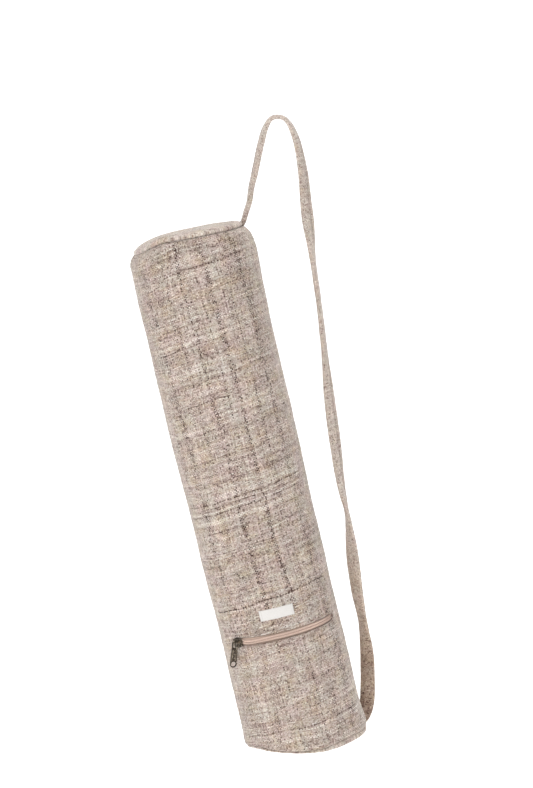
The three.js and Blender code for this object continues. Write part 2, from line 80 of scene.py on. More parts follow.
PULLER_THICK, PULLER_TOP_W, PULLER_END_W, PULLER_LONG = 1.4, 8.0, 9.4, 27.6
PULLER_TURN, PULLER_EYE_R, PULLER_EYE_LONG, PULLER_HOLE_R = 20.0, 2.25, 4.0, 3.0
LABEL_AZ, LABEL_LOW, LABEL_HIGH = (-13.6, 19.0), 176.4, 190.6
STRAP_W, STRAP_T = 20.5, 6.6

SECTIONS = dict(
    s=[-12, 0, 28, 64, 100, 140, 180, 250, 320, 400, 440, 500, 560, 610, 650, 690],
    wide=[77.6, 78.2, 78.7, 79.0, 79.3, 78.9, 78.6, 79.5, 79.3, 80.3, 80.7, 80.1, 80.5, 81.2, 80.9, 80.6],
    deep=[78.0, 78.4, 78.8, 79.0, 79.3, 79.4, 79.2, 79.4, 79.8, 80.0, 80.2, 80.2, 80.4, 80.6, 80.6, 80.4],
    shift=[0.6, 0.8, 0.6, 0.5, 0.7, 0.6, 0.3, -0.3, 0.0, -0.7, -0.6, -0.6, 0.0, 0.9, 1.0, 0.9],
)
DENTS = [  # azimuth, height, reach round, reach up, how far out
    (100, 5, 34, 19, 3.1),
    (-90, 6, 36, 16, 1.3),
    (-90, 664, 36, 12, -1.1),
    (66, 154, 12, 16, -1.3),
    (-50, 154, 12, 16, -1.1),
    (8, 128, 60, 14, 0.9),
    (-30, 470, 36, 60, -1.0),
    (40, 330, 34, 70, -0.9),
    (150, 240, 40, 80, -1.8),
    (200, 430, 44, 90, -1.6),
    (96, 640, 26, 26, 1.4),
]
BASE_LINE = dict(
    v=[-80, -60, -40, -20, 0, 20, 40, 60, 80],
    up=[4.0, 7.6, 6.6, 4.0, 0.8, -2.2, -3.6, -4.8, -7.5],
)
STRAP_ROUTE = [  # x, y, z, turn of the width from front-to-back
    (-36.6, 12.4, -139.5, -3), (-32.8, 12.4, -130.5, -3), (-30.3, 12.2, -119.0, -4),
    (-27.5, 11.3, -105.9, -6), (-26.3, 10.0, -86.5, -9), (-23.6, 9.0, -67.1, -12),
    (-18.8, 5.0, -28.4, -13), (-14.4, 2.2, -8.3, -9), (-8.7, 0.8, 1.6, -4),
    (-0.4, 0.0, 4.6, 0), (8.4, 0.0, 2.8, 4), (15.1, 0.0, -3.2, 9),
    (20.4, 0.5, -11.5, 14), (26.4, 1.0, -24.3, 19), (37.4, 2.0, -61.5, 30),
    (44.5, 3.5, -99.2, 40), (48.8, 4.3, -119.3, 43), (53.2, 5.0, -139.5, 32),
    (60.7, 6.5, -174.9, 8), (73.2, 9.0, -228.3, 7), (85.9, 12.0, -289.9, 12),
    (98.3, 15.5, -352.0, 37), (112.4, 19.5, -414.6, 39), (123.4, 23.0, -461.9, 22),
    (137.6, 27.5, -509.4, -9), (147.6, 32.0, -557.6, -46), (158.5, 36.5, -606.1, -42),
    (169.9, 41.0, -646.8, -27), (179.2, 45.0, -687.7, -54), (185.2, 49.0, -737.5, -69),
    (186.0, 50.5, -757.0, -66), (184.2, 51.5, -770.5, -60), (179.5, 52.5, -780.2, -52),
    (171.4, 52.5, -784.7, -46), (162.5, 51.5, -783.9, -43),
]


# ------------------------------------------------------------------ shape functions
def column(xs, ys, at):
    """Smooth value through a table's rows (Catmull-Rom), level past both its ends."""
    x, y = np.asarray(xs, float), np.asarray(ys, float)
    at = np.clip(np.asarray(at, float), x[0], x[-1])
    i = np.clip(np.searchsorted(x, at, side="left") - 1, 0, len(x) - 2)
    before, after = np.maximum(i - 1, 0), np.minimum(i + 2, len(x) - 1)
    span = x[i + 1] - x[i]
    f = (at - x[i]) / span
    slope_a = (y[i + 1] - y[before]) / (x[i + 1] - x[before]) * span
    slope_b = (y[after] - y[i]) / (x[after] - x[i]) * span
    f2, f3 = f * f, f * f * f
    return (
        (2 * f3 - 3 * f2 + 1) * y[i] + (f3 - 2 * f2 + f) * slope_a
        + (3 * f2 - 2 * f3) * y[i + 1] + (f3 - f2) * slope_b
    )


def smooth(low, high, x):
    f = np.clip((np.asarray(x, float) - low) / (high - low), 0, 1)
    return f * f * (3 - 2 * f)


def turn_between(a, b):
    return (np.asarray(a, float) - b + 540) % 360 - 180


def wall_radius(az, s):
    """Radius of the wall's outer face at an azimuth (0 = front, 90 = right) and height."""
    az, s = np.broadcast_arrays(np.asarray(az, float), np.asarray(s, float))
    wide = column(SECTIONS["s"], SECTIONS["wide"], s)
    deep = column(SECTIONS["s"], SECTIONS["deep"], s)
    r = 1 / np.hypot(np.sin(np.radians(az)) / wide, np.cos(np.radians(az)) / deep)
    for d_az, d_s, reach_az, reach_s, out in DENTS:
        u, v = turn_between(az, d_az) / reach_az, (s - d_s) / reach_s
        r = r + out * np.exp(-(u * u + v * v))
    return r


# How far the rim sinks at the top (by place across the bag), and the lid's seam climbs (by azimuth).
TOP_LINE = dict(
    v=[-82, -78, -74, -70, -66, -58, -50, -42, -30, -10, 10, 30, 50, 70],
    down=[0.0, 1.4, 3.6, 4.8, 3.8, 2.3, 1.3, 0.6, 0.1, 0.2, 0.8, 0.9, 0.6, 0.0],
)
SEAM_LINE = dict(az=[-180, -95, -60, -42, -26, -8, 14, 36, 60, 180], up=[0, 0, -0.6, 1.8, 3.9, 3.4, 2.8, 1.6, 0, 0])
# How far the body's cloth hangs down over the base's edge.
HEM_LINE = dict(v=[-80, -60, -40, -10, 10, 30, 45, 80], down=[1.6, 2.4, 4.0, 4.6, 4.0, 2.4, 0.8, 0.4])
# How far the left corner of the bottom rounds up.
CORNER_LINE = dict(v=[-82, -77, -71, -63, -55, -43, -30], up=[0.2, 2.2, 3.2, 2.5, 1.5, 0.7, 0.0])


def in_bag(az, s, radius):
    """Bag-frame coordinates (v, y, s) of a place."""
    a = np.radians(az)
    v, y = radius * np.sin(a), -radius * np.cos(a)
    s = s - column(TOP_LINE["v"], TOP_LINE["down"], v) * smooth(628, 668, s)
    fade = np.clip(1 - s / BASE_LINE_FADE, 0, 1)
    up = column(BASE_LINE["v"], BASE_LINE["up"], v) * fade * fade * (3 - 2 * fade)
    return np.stack(np.broadcast_arrays(v + column(SECTIONS["s"], SECTIONS["shift"], s), y, s + up), -1)


def to_world(bag):
    """Metres in the row frame, from millimetres in the bag's frame."""
    bag = np.asarray(bag, float)
    return (BASE_CENTRE + bag[..., :1] * AXIS_V + bag[..., 1:2] * AXIS_Y + bag[..., 2:] * AXIS_S) * MM


def place(az, s, radius):
    az, s, radius = np.broadcast_arrays(*[np.asarray(q, float) for q in (az, s, radius)])
    return to_world(in_bag(az, s, radius))


def soft(points, cell, seed):
    """Smooth random field in space, -1..1, on a lattice of that cell (millimetres)."""
    table = np.random.default_rng(seed).uniform(-1, 1, 4096)
    q = np.asarray(points, float) / cell
    i = np.floor(q).astype(np.int64)
    f = q - i
    f = f * f * (3 - 2 * f)
    total = 0
    for dx in (0, 1):
        for dy in (0, 1):
            for dz in (0, 1):
                key = (i[..., 0] + dx) * 73856093 ^ (i[..., 1] + dy) * 19349663 ^ (i[..., 2] + dz) * 83492791
                w = (
                    (f[..., 0] if dx else 1 - f[..., 0])
                    * (f[..., 1] if dy else 1 - f[..., 1])
                    * (f[..., 2] if dz else 1 - f[..., 2])
                )
                total = total + table[key % 4096] * w
    return total


def walk(points, step, closed=False):
    """Points every step or so along a smooth curve through the given ones."""
    p = np.asarray(points, float)
    n = len(p)
    fine = []
    for i in range(n - 1):
        p0 = p[max(i - 1, 0)]
        p1, p2 = p[i], p[i + 1]
        p3 = p[min(i + 2, n - 1)]
        t = np.linspace(0, 1, 24, endpoint=False)[:, None]
        fine.append(0.5 * (2 * p1 + (p2 - p0) * t + (2 * p0 - 5 * p1 + 4 * p2 - p3) * t**2
                           + (3 * p1 - p0 - 3 * p2 + p3) * t**3))
    fine = np.concatenate(fine + [p[-1:]])
    far = np.concatenate([[0], np.cumsum(np.linalg.norm(np.diff(fine, axis=0), axis=1))])
    count = max(int(round(far[-1] / step)), 1)
    at = np.linspace(0, far[-1], count + 1)
    return np.stack([np.interp(at, far, fine[:, k]) for k in range(p.shape[1])], -1)


# ------------------------------------------------------------------ mesh helpers
def make(name, points, faces, uvs=None, smooth_faces=True, material=None, attributes=None):
    mesh = bpy.data.meshes.new(name)
    mesh.from_pydata(np.asarray(points).reshape(-1, 3).tolist(), [], [list(map(int, f)) for f in faces])
    if uvs is not None:
        layer = mesh.uv_layers.new(name="weave")
        layer.uv.foreach_set("vector", np.asarray(uvs, np.float32).ravel())
    for key, values in (attributes or {}).items():
        a = mesh.attributes.new(name=key, type="FLOAT", domain="POINT")
        a.data.foreach_set("value", np.asarray(values, np.float32).ravel())
    if smooth_faces:
        mesh.polygons.foreach_set("use_smooth", [True] * len(mesh.polygons))
    mesh.update()
    obj = bpy.data.objects.new(name, mesh)
    bpy.context.scene.collection.objects.link(obj)
    if material:
        mesh.materials.append(material)
    return obj


class Build:
    """Collects points, faces and corner coordinates of one piece."""

    def __init__(self):
        self.points, self.faces, self.uvs, self.extra, self.count = [], [], [], [], 0

    def add(self, points, extra=None):
        points = np.asarray(points, float).reshape(-1, 3)
        start = self.count
        self.points.append(points)
        self.extra.append(np.zeros(len(points)) if extra is None else np.asarray(extra, float).reshape(-1))
        self.count += len(points)
        return start

    def face(self, corners, uv):
        self.faces.append(corners)
        self.uvs.extend(uv)

    def grid(self, points, uv, wrap=False, skip=None, flip=False, extra=None):
        """points [rows, columns, 3]; uv [rows, columns(+1 if wrapped), 2]."""
        rows, cols = points.shape[:2]
        start = self.add(points, extra)
        last = cols if wrap else cols - 1
        for r in range(rows - 1):
            for c in range(last):
                if skip and skip(r, c):
                    continue
                d = (c + 1) % cols
                corners = [start + r * cols + c, start + r * cols + d,
                           start + (r + 1) * cols + d, start + (r + 1) * cols + c]
                e = c + 1
                uvs = [uv[r, c], uv[r, e], uv[r + 1, e], uv[r + 1, c]]
                if flip:
                    corners.reverse()
                    uvs.reverse()
                self.face(corners, uvs)
        return start

    def object(self, name, material, smooth_faces=True, attribute="shade"):
        return make(name, np.concatenate(self.points), self.faces, self.uvs, smooth_faces, material,
                    {attribute: np.concatenate(self.extra)})


def straighten(obj):
    """Turns all faces outward."""
    import bmesh

    bm = bmesh.new()
    bm.from_mesh(obj.data)
    bmesh.ops.recalc_face_normals(bm, faces=bm.faces)
    bm.to_mesh(obj.data)
    bm.free()


# ------------------------------------------------------------------ shader helpers
class Shader:
    def __init__(self, name):
        self.material = bpy.data.materials.new(name)
        self.material.use_nodes = True
        self.tree = self.material.node_tree
        self.tree.nodes.clear()
        self.output = self.tree.nodes.new("ShaderNodeOutputMaterial")
        self.surface = self.tree.nodes.new("ShaderNodeBsdfPrincipled")
        self.tree.links.new(self.surface.outputs[0], self.output.inputs["Surface"])

    def put(self, socket, value):
        if isinstance(value, bpy.types.NodeSocket):
            self.tree.links.new(value, socket)
        elif isinstance(value, (tuple, list)) and len(value) == 3 and socket.type == "RGBA":
            socket.default_value = (*value, 1.0)
        else:
            socket.default_value = value

    def node(self, kind, settings=None, **inputs):
        n = self.tree.nodes.new(kind)
        for k, v in (settings or {}).items():
            setattr(n, k, v)
        for k, v in inputs.items():
            self.put(n.inputs[k.replace("_", " ")], v)
        return n

    def math(self, op, a, b=None, c=None, clamp=False):
        n = self.tree.nodes.new("ShaderNodeMath")
        n.operation, n.use_clamp = op, clamp
        for i, v in enumerate((a, b, c)):
            if v is not None:
                self.put(n.inputs[i], v)
        return n.outputs[0]

    def add(self, *terms):
        total = terms[0]
        for t in terms[1:]:
            total = self.math("ADD", total, t)
        return total

    def sub(self, a, b):
        return self.math("SUBTRACT", a, b)

    def mul(self, *terms):
        total = terms[0]
        for t in terms[1:]:
            total = self.math("MULTIPLY", total, t)
        return total

    def centred(self, x, amount):
        """(x - 0.5) * amount."""
        return self.math("MULTIPLY_ADD", x, amount, -0.5 * amount)

    def step(self, low, high, x):
        n = self.node("ShaderNodeMapRange", {"interpolation_type": "SMOOTHSTEP"})
        self.put(n.inputs["Value"], x)
        self.put(n.inputs["From Min"], low)
        self.put(n.inputs["From Max"], high)
        return n.outputs[0]

    def pair(self, x, y, z=0.0):
        n = self.node("ShaderNodeCombineXYZ")
        for i, v in enumerate((x, y, z)):
            self.put(n.inputs[i], v)
        return n.outputs[0]

    def noise(self, vector, scale=1.0, detail=0.0, rough=0.5, dims="2D"):
        n = self.node("ShaderNodeTexNoise", {"noise_dimensions": dims})
        self.put(n.inputs["Vector"], vector)
        n.inputs["Scale"].default_value = scale
        n.inputs["Detail"].default_value = detail
        n.inputs["Roughness"].default_value = rough
        return n.outputs[0]

    def white(self, x, y=None):
        if y is None:
            n = self.node("ShaderNodeTexWhiteNoise", {"noise_dimensions": "1D"})
            self.put(n.inputs["W"], x)
        else:
            n = self.node("ShaderNodeTexWhiteNoise", {"noise_dimensions": "2D"})
            self.put(n.inputs["Vector"], self.pair(x, y))
        return n.outputs["Value"]

    def mix(self, factor, a, b, kind="MIX"):
        n = self.node("ShaderNodeMix", {"data_type": "RGBA", "blend_type": kind, "clamp_factor": True})
        self.put(n.inputs[0], factor)
        self.put(n.inputs[6], a)
        self.put(n.inputs[7], b)
        return n.outputs[2]

    def blend(self, factor, a, b):
        n = self.node("ShaderNodeMix", {"data_type": "FLOAT", "clamp_factor": True})
        self.put(n.inputs[0], factor)
        self.put(n.inputs[2], a)
        self.put(n.inputs[3], b)
        return n.outputs[0]

    def ramp(self, x, stops):
        n = self.node("ShaderNodeValToRGB")
        self.put(n.inputs[0], x)
        e = n.color_ramp.elements
        while len(e) > 1:
            e.remove(e[-1])
        e[0].position, e[0].color = stops[0][0], (*stops[0][1], 1)
        for at, colour in stops[1:]:
            new = e.new(at)
            new.color = (*colour, 1)
        return n.outputs[0]

    def bump(self, height, distance, strength=1.0, normal=None):
        n = self.node("ShaderNodeBump")
        n.inputs["Strength"].default_value = strength
        n.inputs["Distance"].default_value = distance
        self.put(n.inputs["Height"], height)
        if normal is not None:
            self.put(n.inputs["Normal"], normal)
        return n.outputs[0]

    def plane(self, name="weave"):
        """u and v of the cloth in millimetres."""
        n = self.node("ShaderNodeUVMap", {"uv_map": name})
        s = self.node("ShaderNodeSeparateXYZ")
        self.put(s.inputs[0], n.outputs[0])
        return self.mul(s.outputs[0], 1000.0), self.mul(s.outputs[1], 1000.0)

    def attribute(self, name):
        n = self.node("ShaderNodeAttribute", {"attribute_name": name})
        return n.outputs["Fac"]

    def set(self, **inputs):
        for k, v in inputs.items():
            self.put(self.surface.inputs[k.replace("_", " ")], v)


def srgb(*c):
    return tuple((x / 255 / 12.92) if x <= 10.31 else ((x / 255 + 0.055) / 1.055) ** 2.4 for x in c)


# ------------------------------------------------------------------ cloth
WARP_PITCH, WEFT_PITCH = 2.0, 1.7  # one yarn to the next, millimetres

# The cloth isn't square on the bag: how far the weft climbs round it, and the warp drifts up it.
WEFT_CLIMB = dict(
    u=[-130, -95, -75, -60, -45, -30, -15, 0, 15, 30, 45, 60, 80, 130],
    up=[-13, -12, -10.5, -8.5, -6.8, -4.3, -1.6, 0, 0.5, 1.6, 3.2, 4.6, 5.0, 6.0],
)
WARP_DRIFT = dict(
    s=[0, 50, 100, 150, 200, 240, 280, 340, 400, 450, 500, 565, 600, 670],
    u=[8, 8, 7.5, 6, 4.5, 2, 0, 0, 0, -0.7, -1.5, -3.5, -6.5, -7.5],
)
# Weft yarns that stand out of the plaid: height at the front, from and to (millimetres
# round, 0 = front), tone (dark -, pale +), how many yarns to each side of the middle one.
WEFT_LINES = [
    (659.0, -50, 22, -0.15, 2.6), (646.0, -14, 62, 0.22, 2.6), (635.3, -32, 84, -0.55, 0.4),
    (607.5, -100, -38, -0.26, 0.4), (603.0, 42, 64, -0.18, 0.4), (568.8, -55, 20, -0.42, 0.4),
    (547.8, -84, 80, 0.30, 0.9), (541.0, -78, 18, -0.44, 0.4), (526.5, -18, 8, -0.28, 0.4),
    (516.2, -22, 32, 0.26, 0.4), (511.5, -72, -18, 0.20, 1.4), (497.5, 28, 84, -0.30, 0.4),
    (489.0, -80, -55, -0.18, 1.2), (481.5, -28, 4, 0.20, 1.2), (477.0, -32, 6, -0.24, 0.4),
    (468.0, -48, 12, -0.46, 0.4), (447.8, -30, 66, 0.19, 0.9), (443.5, 15, 50, -0.28, 0.4),
    (436.5, -88, -28, 0.24, 1.2), (396.3, -50, 66, -0.30, 0.4), (378.0, -55, 82, -0.26, 0.4),
    (383.0, 24, 82, 0.14, 0.9), (366.0, -34, 88, -0.32, 0.4), (347.0, -38, 92, 0.30, 1.3),
    (342.2, -100, 92, -0.46, 0.4), (338.9, -100, 60, 0.24, 0.4), (336.6, -98, 58, -0.38, 0.4),
    (332.2, -100, 84, 0.36, 0.9), (328.2, -92, 96, -0.44, 0.4), (318.6, -92, 68, 0.28, 1.0),
    (305.9, -64, 50, -0.32, 0.4), (290.6, -14, 48, -0.26, 0.4), (277.5, -88, 62, -0.22, 0.4),
    (262.5, -62, -26, 0.22, 0.9), (202.3, -96, 84, -0.66, 0.4), (210.5, 12, 64, 0.16, 0.9),
    (199.4, -32, 6, 0.16, 0.4), (162.0, -28, 32, 0.46, 0.4), (140.0, -10, 10, -0.30, 0.4),
    (86.0, 34, 64, -0.26, 0.4), (76.4, -64, -16, 0.24, 0.4), (68.3, -8, 28, 0.24, 0.4),
    (28.9, -96, 82, -0.42, 0.4),
]
# Warp yarns that stand out: millimetres round, from and to (height), tone, yarns each side.
WARP_LINES = [
    (-10.3, 0, 150, -0.26, 0.4), (-10.3, 150, 670, -0.16, 0.4), (-6.2, 215, 460, -0.14, 0.4),
    (-10.3, 150, 670, -0.27, 1.3), (22.4, 190, 670, -0.24, 1.3), (-61.0, 235, 470, -0.20, 1.3),
    (-61.0, 20, 235, -0.30, 0.9), (-61.0, 235, 470, -0.20, 0.9), (-63.0, 470, 664, -0.22, 1.9),
    (-35.5, 20, 330, -0.20, 0.9), (-30.5, 330, 660, -0.26, 0.4), (22.4, 0, 330, -0.26, 0.9),
    (22.4, 330, 670, -0.14, 0.9), (18.6, 190, 330, -0.14, 0.4), (46.0, 30, 660, -0.26, 0.4),
    (71.0, 20, 330, -0.16, 1.8), (70.0, 330, 670, -0.22, 1.8), (78.0, 20, 140, -0.14, 1.8),
    (8.4, 440, 630, -0.24, 0.4), (-51.0, 20, 460, 0.10, 1.8), (-45.0, 20, 480, 0.10, 1.8),
    (-24.5, 320, 640, 0.13, 0.9), (-17.0, 190, 640, 0.13, 0.9), (6.2, 20, 440, 0.10, 0.9),
    (12.6, 320, 640, 0.12, 0.9), (29.5, 20, 640, 0.13, 0.9), (35.5, 440, 640, 0.10, 0.9),
    (57.0, 20, 640, 0.07, 1.8), (-73.0, 190, 460, 0.12, 1.8), (77.0, 0, 670, -0.09, 5.4),
    (-76.0, 0, 670, -0.07, 9.4), (20.0, 40, 110, -0.10, 2.4), (58.0, 600, 660, -0.16, 4.4),
]
TONES = [  # dark brown flecks to ecru
    (0.00, srgb(57, 43, 40)),
    (0.14, srgb(87, 70, 64)),
    (0.30, srgb(121, 105, 96)),
    (0.46, srgb(158, 142, 132)),
    (0.60, srgb(183, 168, 157)),
    (0.76, srgb(204, 190, 180)),
    (1.00, srgb(229, 218, 209)),
]


def weave_uv(round_mm, s):
    """The cloth's own coordinates, in metres, of a place round and up the bag."""
    u = round_mm - column(WARP_DRIFT["s"], WARP_DRIFT["u"], s)
    v = s - column(WEFT_CLIMB["u"], WEFT_CLIMB["up"], round_mm)
    return np.stack(np.broadcast_arrays(u * MM, v * MM), -1)


def cloth(name, lines=True, shift=(0.0, 0.0), tone=0.0, shade_bands=None, contrast=1.0, cross=1.0, dye=1.0, brown=None):
    """Slubby handwoven wool and hemp, plain weave: heathered yarns both ways."""
    k = Shader(name)
    u, v = k.plane()
    if shift != (0.0, 0.0):
        u, v = k.add(u, shift[0]), k.add(v, shift[1])
    at = lambda x, y, du=0.0, dv=0.0: k.pair(
        k.math("MULTIPLY_ADD", u, 1 / x, du), k.math("MULTIPLY_ADD", v, 1 / y, dv))
    # yarns wander a little
    drift = k.noise(at(24.0, 24.0), 1.0, 1.0)
    drift_b = k.noise(at(26.0, 18.0, 40.0, 7.0), 1.0, 1.0)
    wob = k.noise(at(60.0, 4.2, 300.0), 1.0)
    wob_b = k.noise(at(4.6, 60.0, 90.0), 1.0)
    uu = k.add(u, k.centred(drift, 3.2), k.centred(wob, 0.5))
    vv = k.add(v, k.centred(drift_b, 3.6), k.centred(wob_b, 0.5))
    gu, gv = k.mul(uu, 1 / WARP_PITCH), k.mul(vv, 1 / WEFT_PITCH)
    iu, iv = k.math("FLOOR", gu), k.math("FLOOR", gv)
    su, sv = k.math("SINE", k.mul(gu, math.pi)), k.math("SINE", k.mul(gv, math.pi))
    au, av = k.math("ABSOLUTE", su), k.math("ABSOLUTE", sv)
    over = k.mul(su, sv)
    warp_h = k.math("MULTIPLY_ADD", over, 0.42, k.mul(au, 0.52))
    weft_h = k.math("MULTIPLY_ADD", over, -0.42, k.mul(av, 0.62))
    fray = k.noise(at(0.9, 0.9), 1.0, 1.0)
    top = k.step(-0.07, 0.07, k.add(k.sub(warp_h, weft_h), k.centred(fray, 0.55)))
    height = k.math("MAXIMUM", warp_h, weft_h)

    # each yarn's own tone, and how it changes along the yarn
    warp_own = k.white(iu)
    weft_own = k.white(k.add(iv, 1000.5))
    warp_run = k.noise(k.pair(k.mul(iu, 3.71), k.mul(v, 1 / 16.0)), 1.0, 1.0)
    weft_run = k.noise(k.pair(k.mul(u, 1 / 18.0), k.mul(iv, 3.37)), 1.0, 1.0)
    warp_fleck = k.noise(k.pair(k.mul(iu, 5.13), k.mul(v, 1 / 1.6)), 1.0, 1.0)
    weft_fleck = k.noise(k.pair(k.mul(u, 1 / 1.8), k.mul(iv, 4.77)), 1.0, 1.0)
    warp_band = k.noise(at(11.0, 100.0), 1.0, 2.0, 0.6)
    weft_band = k.noise(at(95.0, 6.5), 1.0, 2.0, 0.6)
    patch = k.noise(at(24.0, 28.0), 1.0, 2.0)
    wide = k.noise(at(58.0, 95.0, 9.0, 2.0), 1.0, 1.0)
    cell = k.white(iu, iv)
    spot = k.white(k.add(iu, 0.37), k.add(iv, 0.71))

    warp_tone = k.add(
        k.centred(warp_own, 0.17), k.centred(warp_run, 0.22), k.centred(warp_band, 0.40),
        k.mul(k.step(0.58, 0.72, warp_fleck), -0.32), k.mul(k.step(0.58, 0.74, k.sub(1.0, warp_fleck)), 0.20),
    )
    weft_tone = k.add(
        k.centred(weft_own, 0.26), k.centred(weft_run, 0.26), k.centred(weft_band, 0.33),
        k.mul(k.step(0.59, 0.73, weft_fleck), -0.28), k.mul(k.step(0.57, 0.73, k.sub(1.0, weft_fleck)), 0.20),
        k.mul(k.step(0.63, 0.72, weft_run), 0.24),
    )
    if lines:
        broken = k.noise(at(9.0, 9.0, 5.0, 3.0), 1.0, 2.0, 0.7)
        some = k.math("MULTIPLY_ADD", k.step(0.34, 0.56, broken), 0.60, 0.42)
        torn = k.noise(at(7.0, 12.0, 45.0, 63.0), 1.0, 2.0, 0.7)
        part = k.math("MULTIPLY_ADD", k.step(0.36, 0.60, torn), 0.95, 0.30)
        spotty = k.step(0.50, 0.66, k.white(k.add(iu, 0.61), k.add(iv, 0.29)))
        part = k.mul(part, k.math("MULTIPLY_ADD", spotty, 1.75, 0.24))
        ragged_u = k.add(u, k.centred(k.noise(at(6.0, 2.0, 17.0, 29.0), 1.0, 1.0), 16.0))
        ragged_v = k.add(v, k.centred(k.noise(at(2.0, 7.0, 61.0, 13.0), 1.0, 1.0), 22.0))
        weft_lines = warp_lines = None
        for height_at, low, high, amount, half in WEFT_LINES:
            yarn = k.math("COMPARE", iv, math.floor(height_at / WEFT_PITCH), half)
            span = k.math("COMPARE", ragged_u, (low + high) / 2, (high - low) / 2)
            hit = k.mul(yarn, span)
            weft_lines = k.mul(hit, amount) if weft_lines is None else k.math("MULTIPLY_ADD", hit, amount, weft_lines)
        for place_at, low, high, amount, half in WARP_LINES:
            yarn = k.math("COMPARE", iu, math.floor(place_at / WARP_PITCH), half)
            span = k.math("COMPARE", ragged_v, (low + high) / 2, (high - low) / 2)
            hit = k.mul(yarn, span)
            warp_lines = k.mul(hit, amount) if warp_lines is None else k.math("MULTIPLY_ADD", hit, amount, warp_lines)
        weft_tone = k.math("MULTIPLY_ADD", weft_lines, some, weft_tone)
        warp_tone = k.math("MULTIPLY_ADD", warp_lines, part, warp_tone)
    if cross != 1.0:
        weft_tone = k.mul(weft_tone, cross)
    both = k.blend(top, weft_tone, warp_tone)
    under = k.blend(top, warp_tone, weft_tone)
    dense = k.centred(patch, 0.5)
    dots = k.step(0.80, 0.90, k.add(spot, k.mul(dense, 0.5)))
    grain = k.noise(at(1.0, 1.0, 33.0, 77.0), 1.0, 2.0, 0.6)
    total = k.add(k.mul(both, 0.80), k.mul(under, 0.20), k.centred(cell, 0.20), k.centred(patch, 0.07), k.centred(wide, 0.05),
                  k.mul(dots, -0.20), k.centred(grain, 0.54), k.centred(top, -0.10))
    # painted shade in the gaps between the yarns, darker where the weave is low
    yarn_gap_shade = k.sub(1.0, k.step(0.05, 0.46, height))
    total = k.mul(k.math("MULTIPLY_ADD", yarn_gap_shade, -0.22, total), 0.965)
    tone_at = k.math("MULTIPLY_ADD", total, contrast, 0.614 + tone)
    # painted shade: bands along the strap made darker where it lies in the bag's shadow
    if shade_bands is not None:
        for low, high, amount in shade_bands:
            w = k.mul(k.step(low, low + 30, v), k.sub(1.0, k.step(high - 30, high, v)))
            tone_at = k.math("MULTIPLY_ADD", w, amount, tone_at)
    colour = k.ramp(tone_at, TONES)
    # runs of yarn lean to mauve or to a greenish grey, and to tan or away from it
    zone = k.noise(at(21.0, 26.0, 80.0, 21.0), 1.0, 2.0)
    hue_u = k.noise(at(4.2, 40.0, 11.0, 5.0), 1.0, 1.0)
    hue_v = k.noise(at(44.0, 4.0, 7.0, 50.0), 1.0, 1.0)
    speck = k.white(k.add(iu, 0.19), k.add(iv, 0.43))
    hue = k.add(k.math("MULTIPLY_ADD", tone_at, -0.9, 0.9 * 0.58), k.centred(zone, 2.0 * dye), k.centred(k.blend(top, hue_v, hue_u), 1.5 * dye), k.centred(speck, 0.50))
    colour = k.mix(k.step(0.0, 0.62, hue), colour, (1.0, 0.938, 0.968), "MULTIPLY")
    colour = k.mix(k.step(0.0, 0.62, k.mul(hue, -1.0)), colour, (0.938, 1.0, 0.985), "MULTIPLY")
    warm_zone = k.noise(at(27.0, 17.0, 3.0, 90.0), 1.0, 2.0)
    warm_u = k.noise(at(3.6, 52.0, 71.0, 15.0), 1.0, 1.0)
    warm_v = k.noise(at(38.0, 4.6, 37.0, 80.0), 1.0, 1.0)
    warm = k.add(k.centred(warm_zone, 1.95 * dye), k.centred(k.blend(top, warm_v, warm_u), 1.4 * dye), k.centred(cell, 0.34))
    pale = k.math("MULTIPLY_ADD", k.step(0.66, 0.90, tone_at), -0.65, 1.0)
    colour = k.mix(k.mul(k.step(0.0, 0.60, warm), pale), colour, (1.007, 0.984, 0.872), "MULTIPLY")
    colour = k.mix(k.step(0.0, 0.60, k.mul(warm, -1.0)), colour, (1.0, 1.007, 1.054), "MULTIPLY")
    # painted shade: browner along the strap's lower part, where it lies in the bag's shadow
    if brown is not None:
        colour = k.mix(k.step(brown[0], brown[1], v), colour, (1.0, 0.945, 0.87), "MULTIPLY")
    # painted shade: the 'shade' attribute darkens the colour toward brown in creases, seams, the slot's lips and
    # recesses, on inner faces and at the strap's ends
    shade = k.attribute("shade")
    colour = k.mix(k.mul(shade, 0.94), colour, srgb(98, 56, 36), "MULTIPLY")
    fibre = k.noise(at(0.34, 0.34), 1.0, 2.0)
    lump = k.noise(at(4.2, 4.2), 1.0, 1.0)
    relief = k.add(k.mul(height, 0.60), k.mul(fibre, 0.30), k.mul(lump, 0.55))
    k.set(Base_Color=colour, Roughness=0.95, Sheen_Weight=0.55, Sheen_Roughness=0.20,
          Sheen_Tint=(1.0, 0.985, 0.96), Specular_IOR_Level=0.10)
    k.set(Normal=k.bump(relief, 0.0010, 0.85))
    return k.material


CLOTH = cloth("woven_cloth")
LID_CLOTH = cloth("woven_cloth_lid", lines=False, shift=(700.0, 900.0), tone=0.07, contrast=0.92)
# the strap's lower part is darkened and browned as painted shade from the bag
STRAP_CLOTH = cloth(
    "strap_cloth", lines=False, shift=(-400.0, 1500.0), tone=0.075, contrast=0.95, cross=0.6, dye=0.6,
    shade_bands=[(2165, 2230, -0.03), (2300, 2620, -0.06), (2365, 2640, -0.10), (2425, 2640, -0.06)], brown=(2180.0, 2400.0),
)


# ------------------------------------------------------------------ body
def slot_distance(az, s):
    """Distance to the pocket's slot, in millimetres along the wall."""
    across = np.maximum(np.maximum(SLOT_LEFT - az, az - SLOT_RIGHT), 0) * math.radians(1) * 79.0
    up = np.maximum(np.maximum(SLOT_LOW - s, s - SLOT_HIGH), 0)
    return np.hypot(across, up)


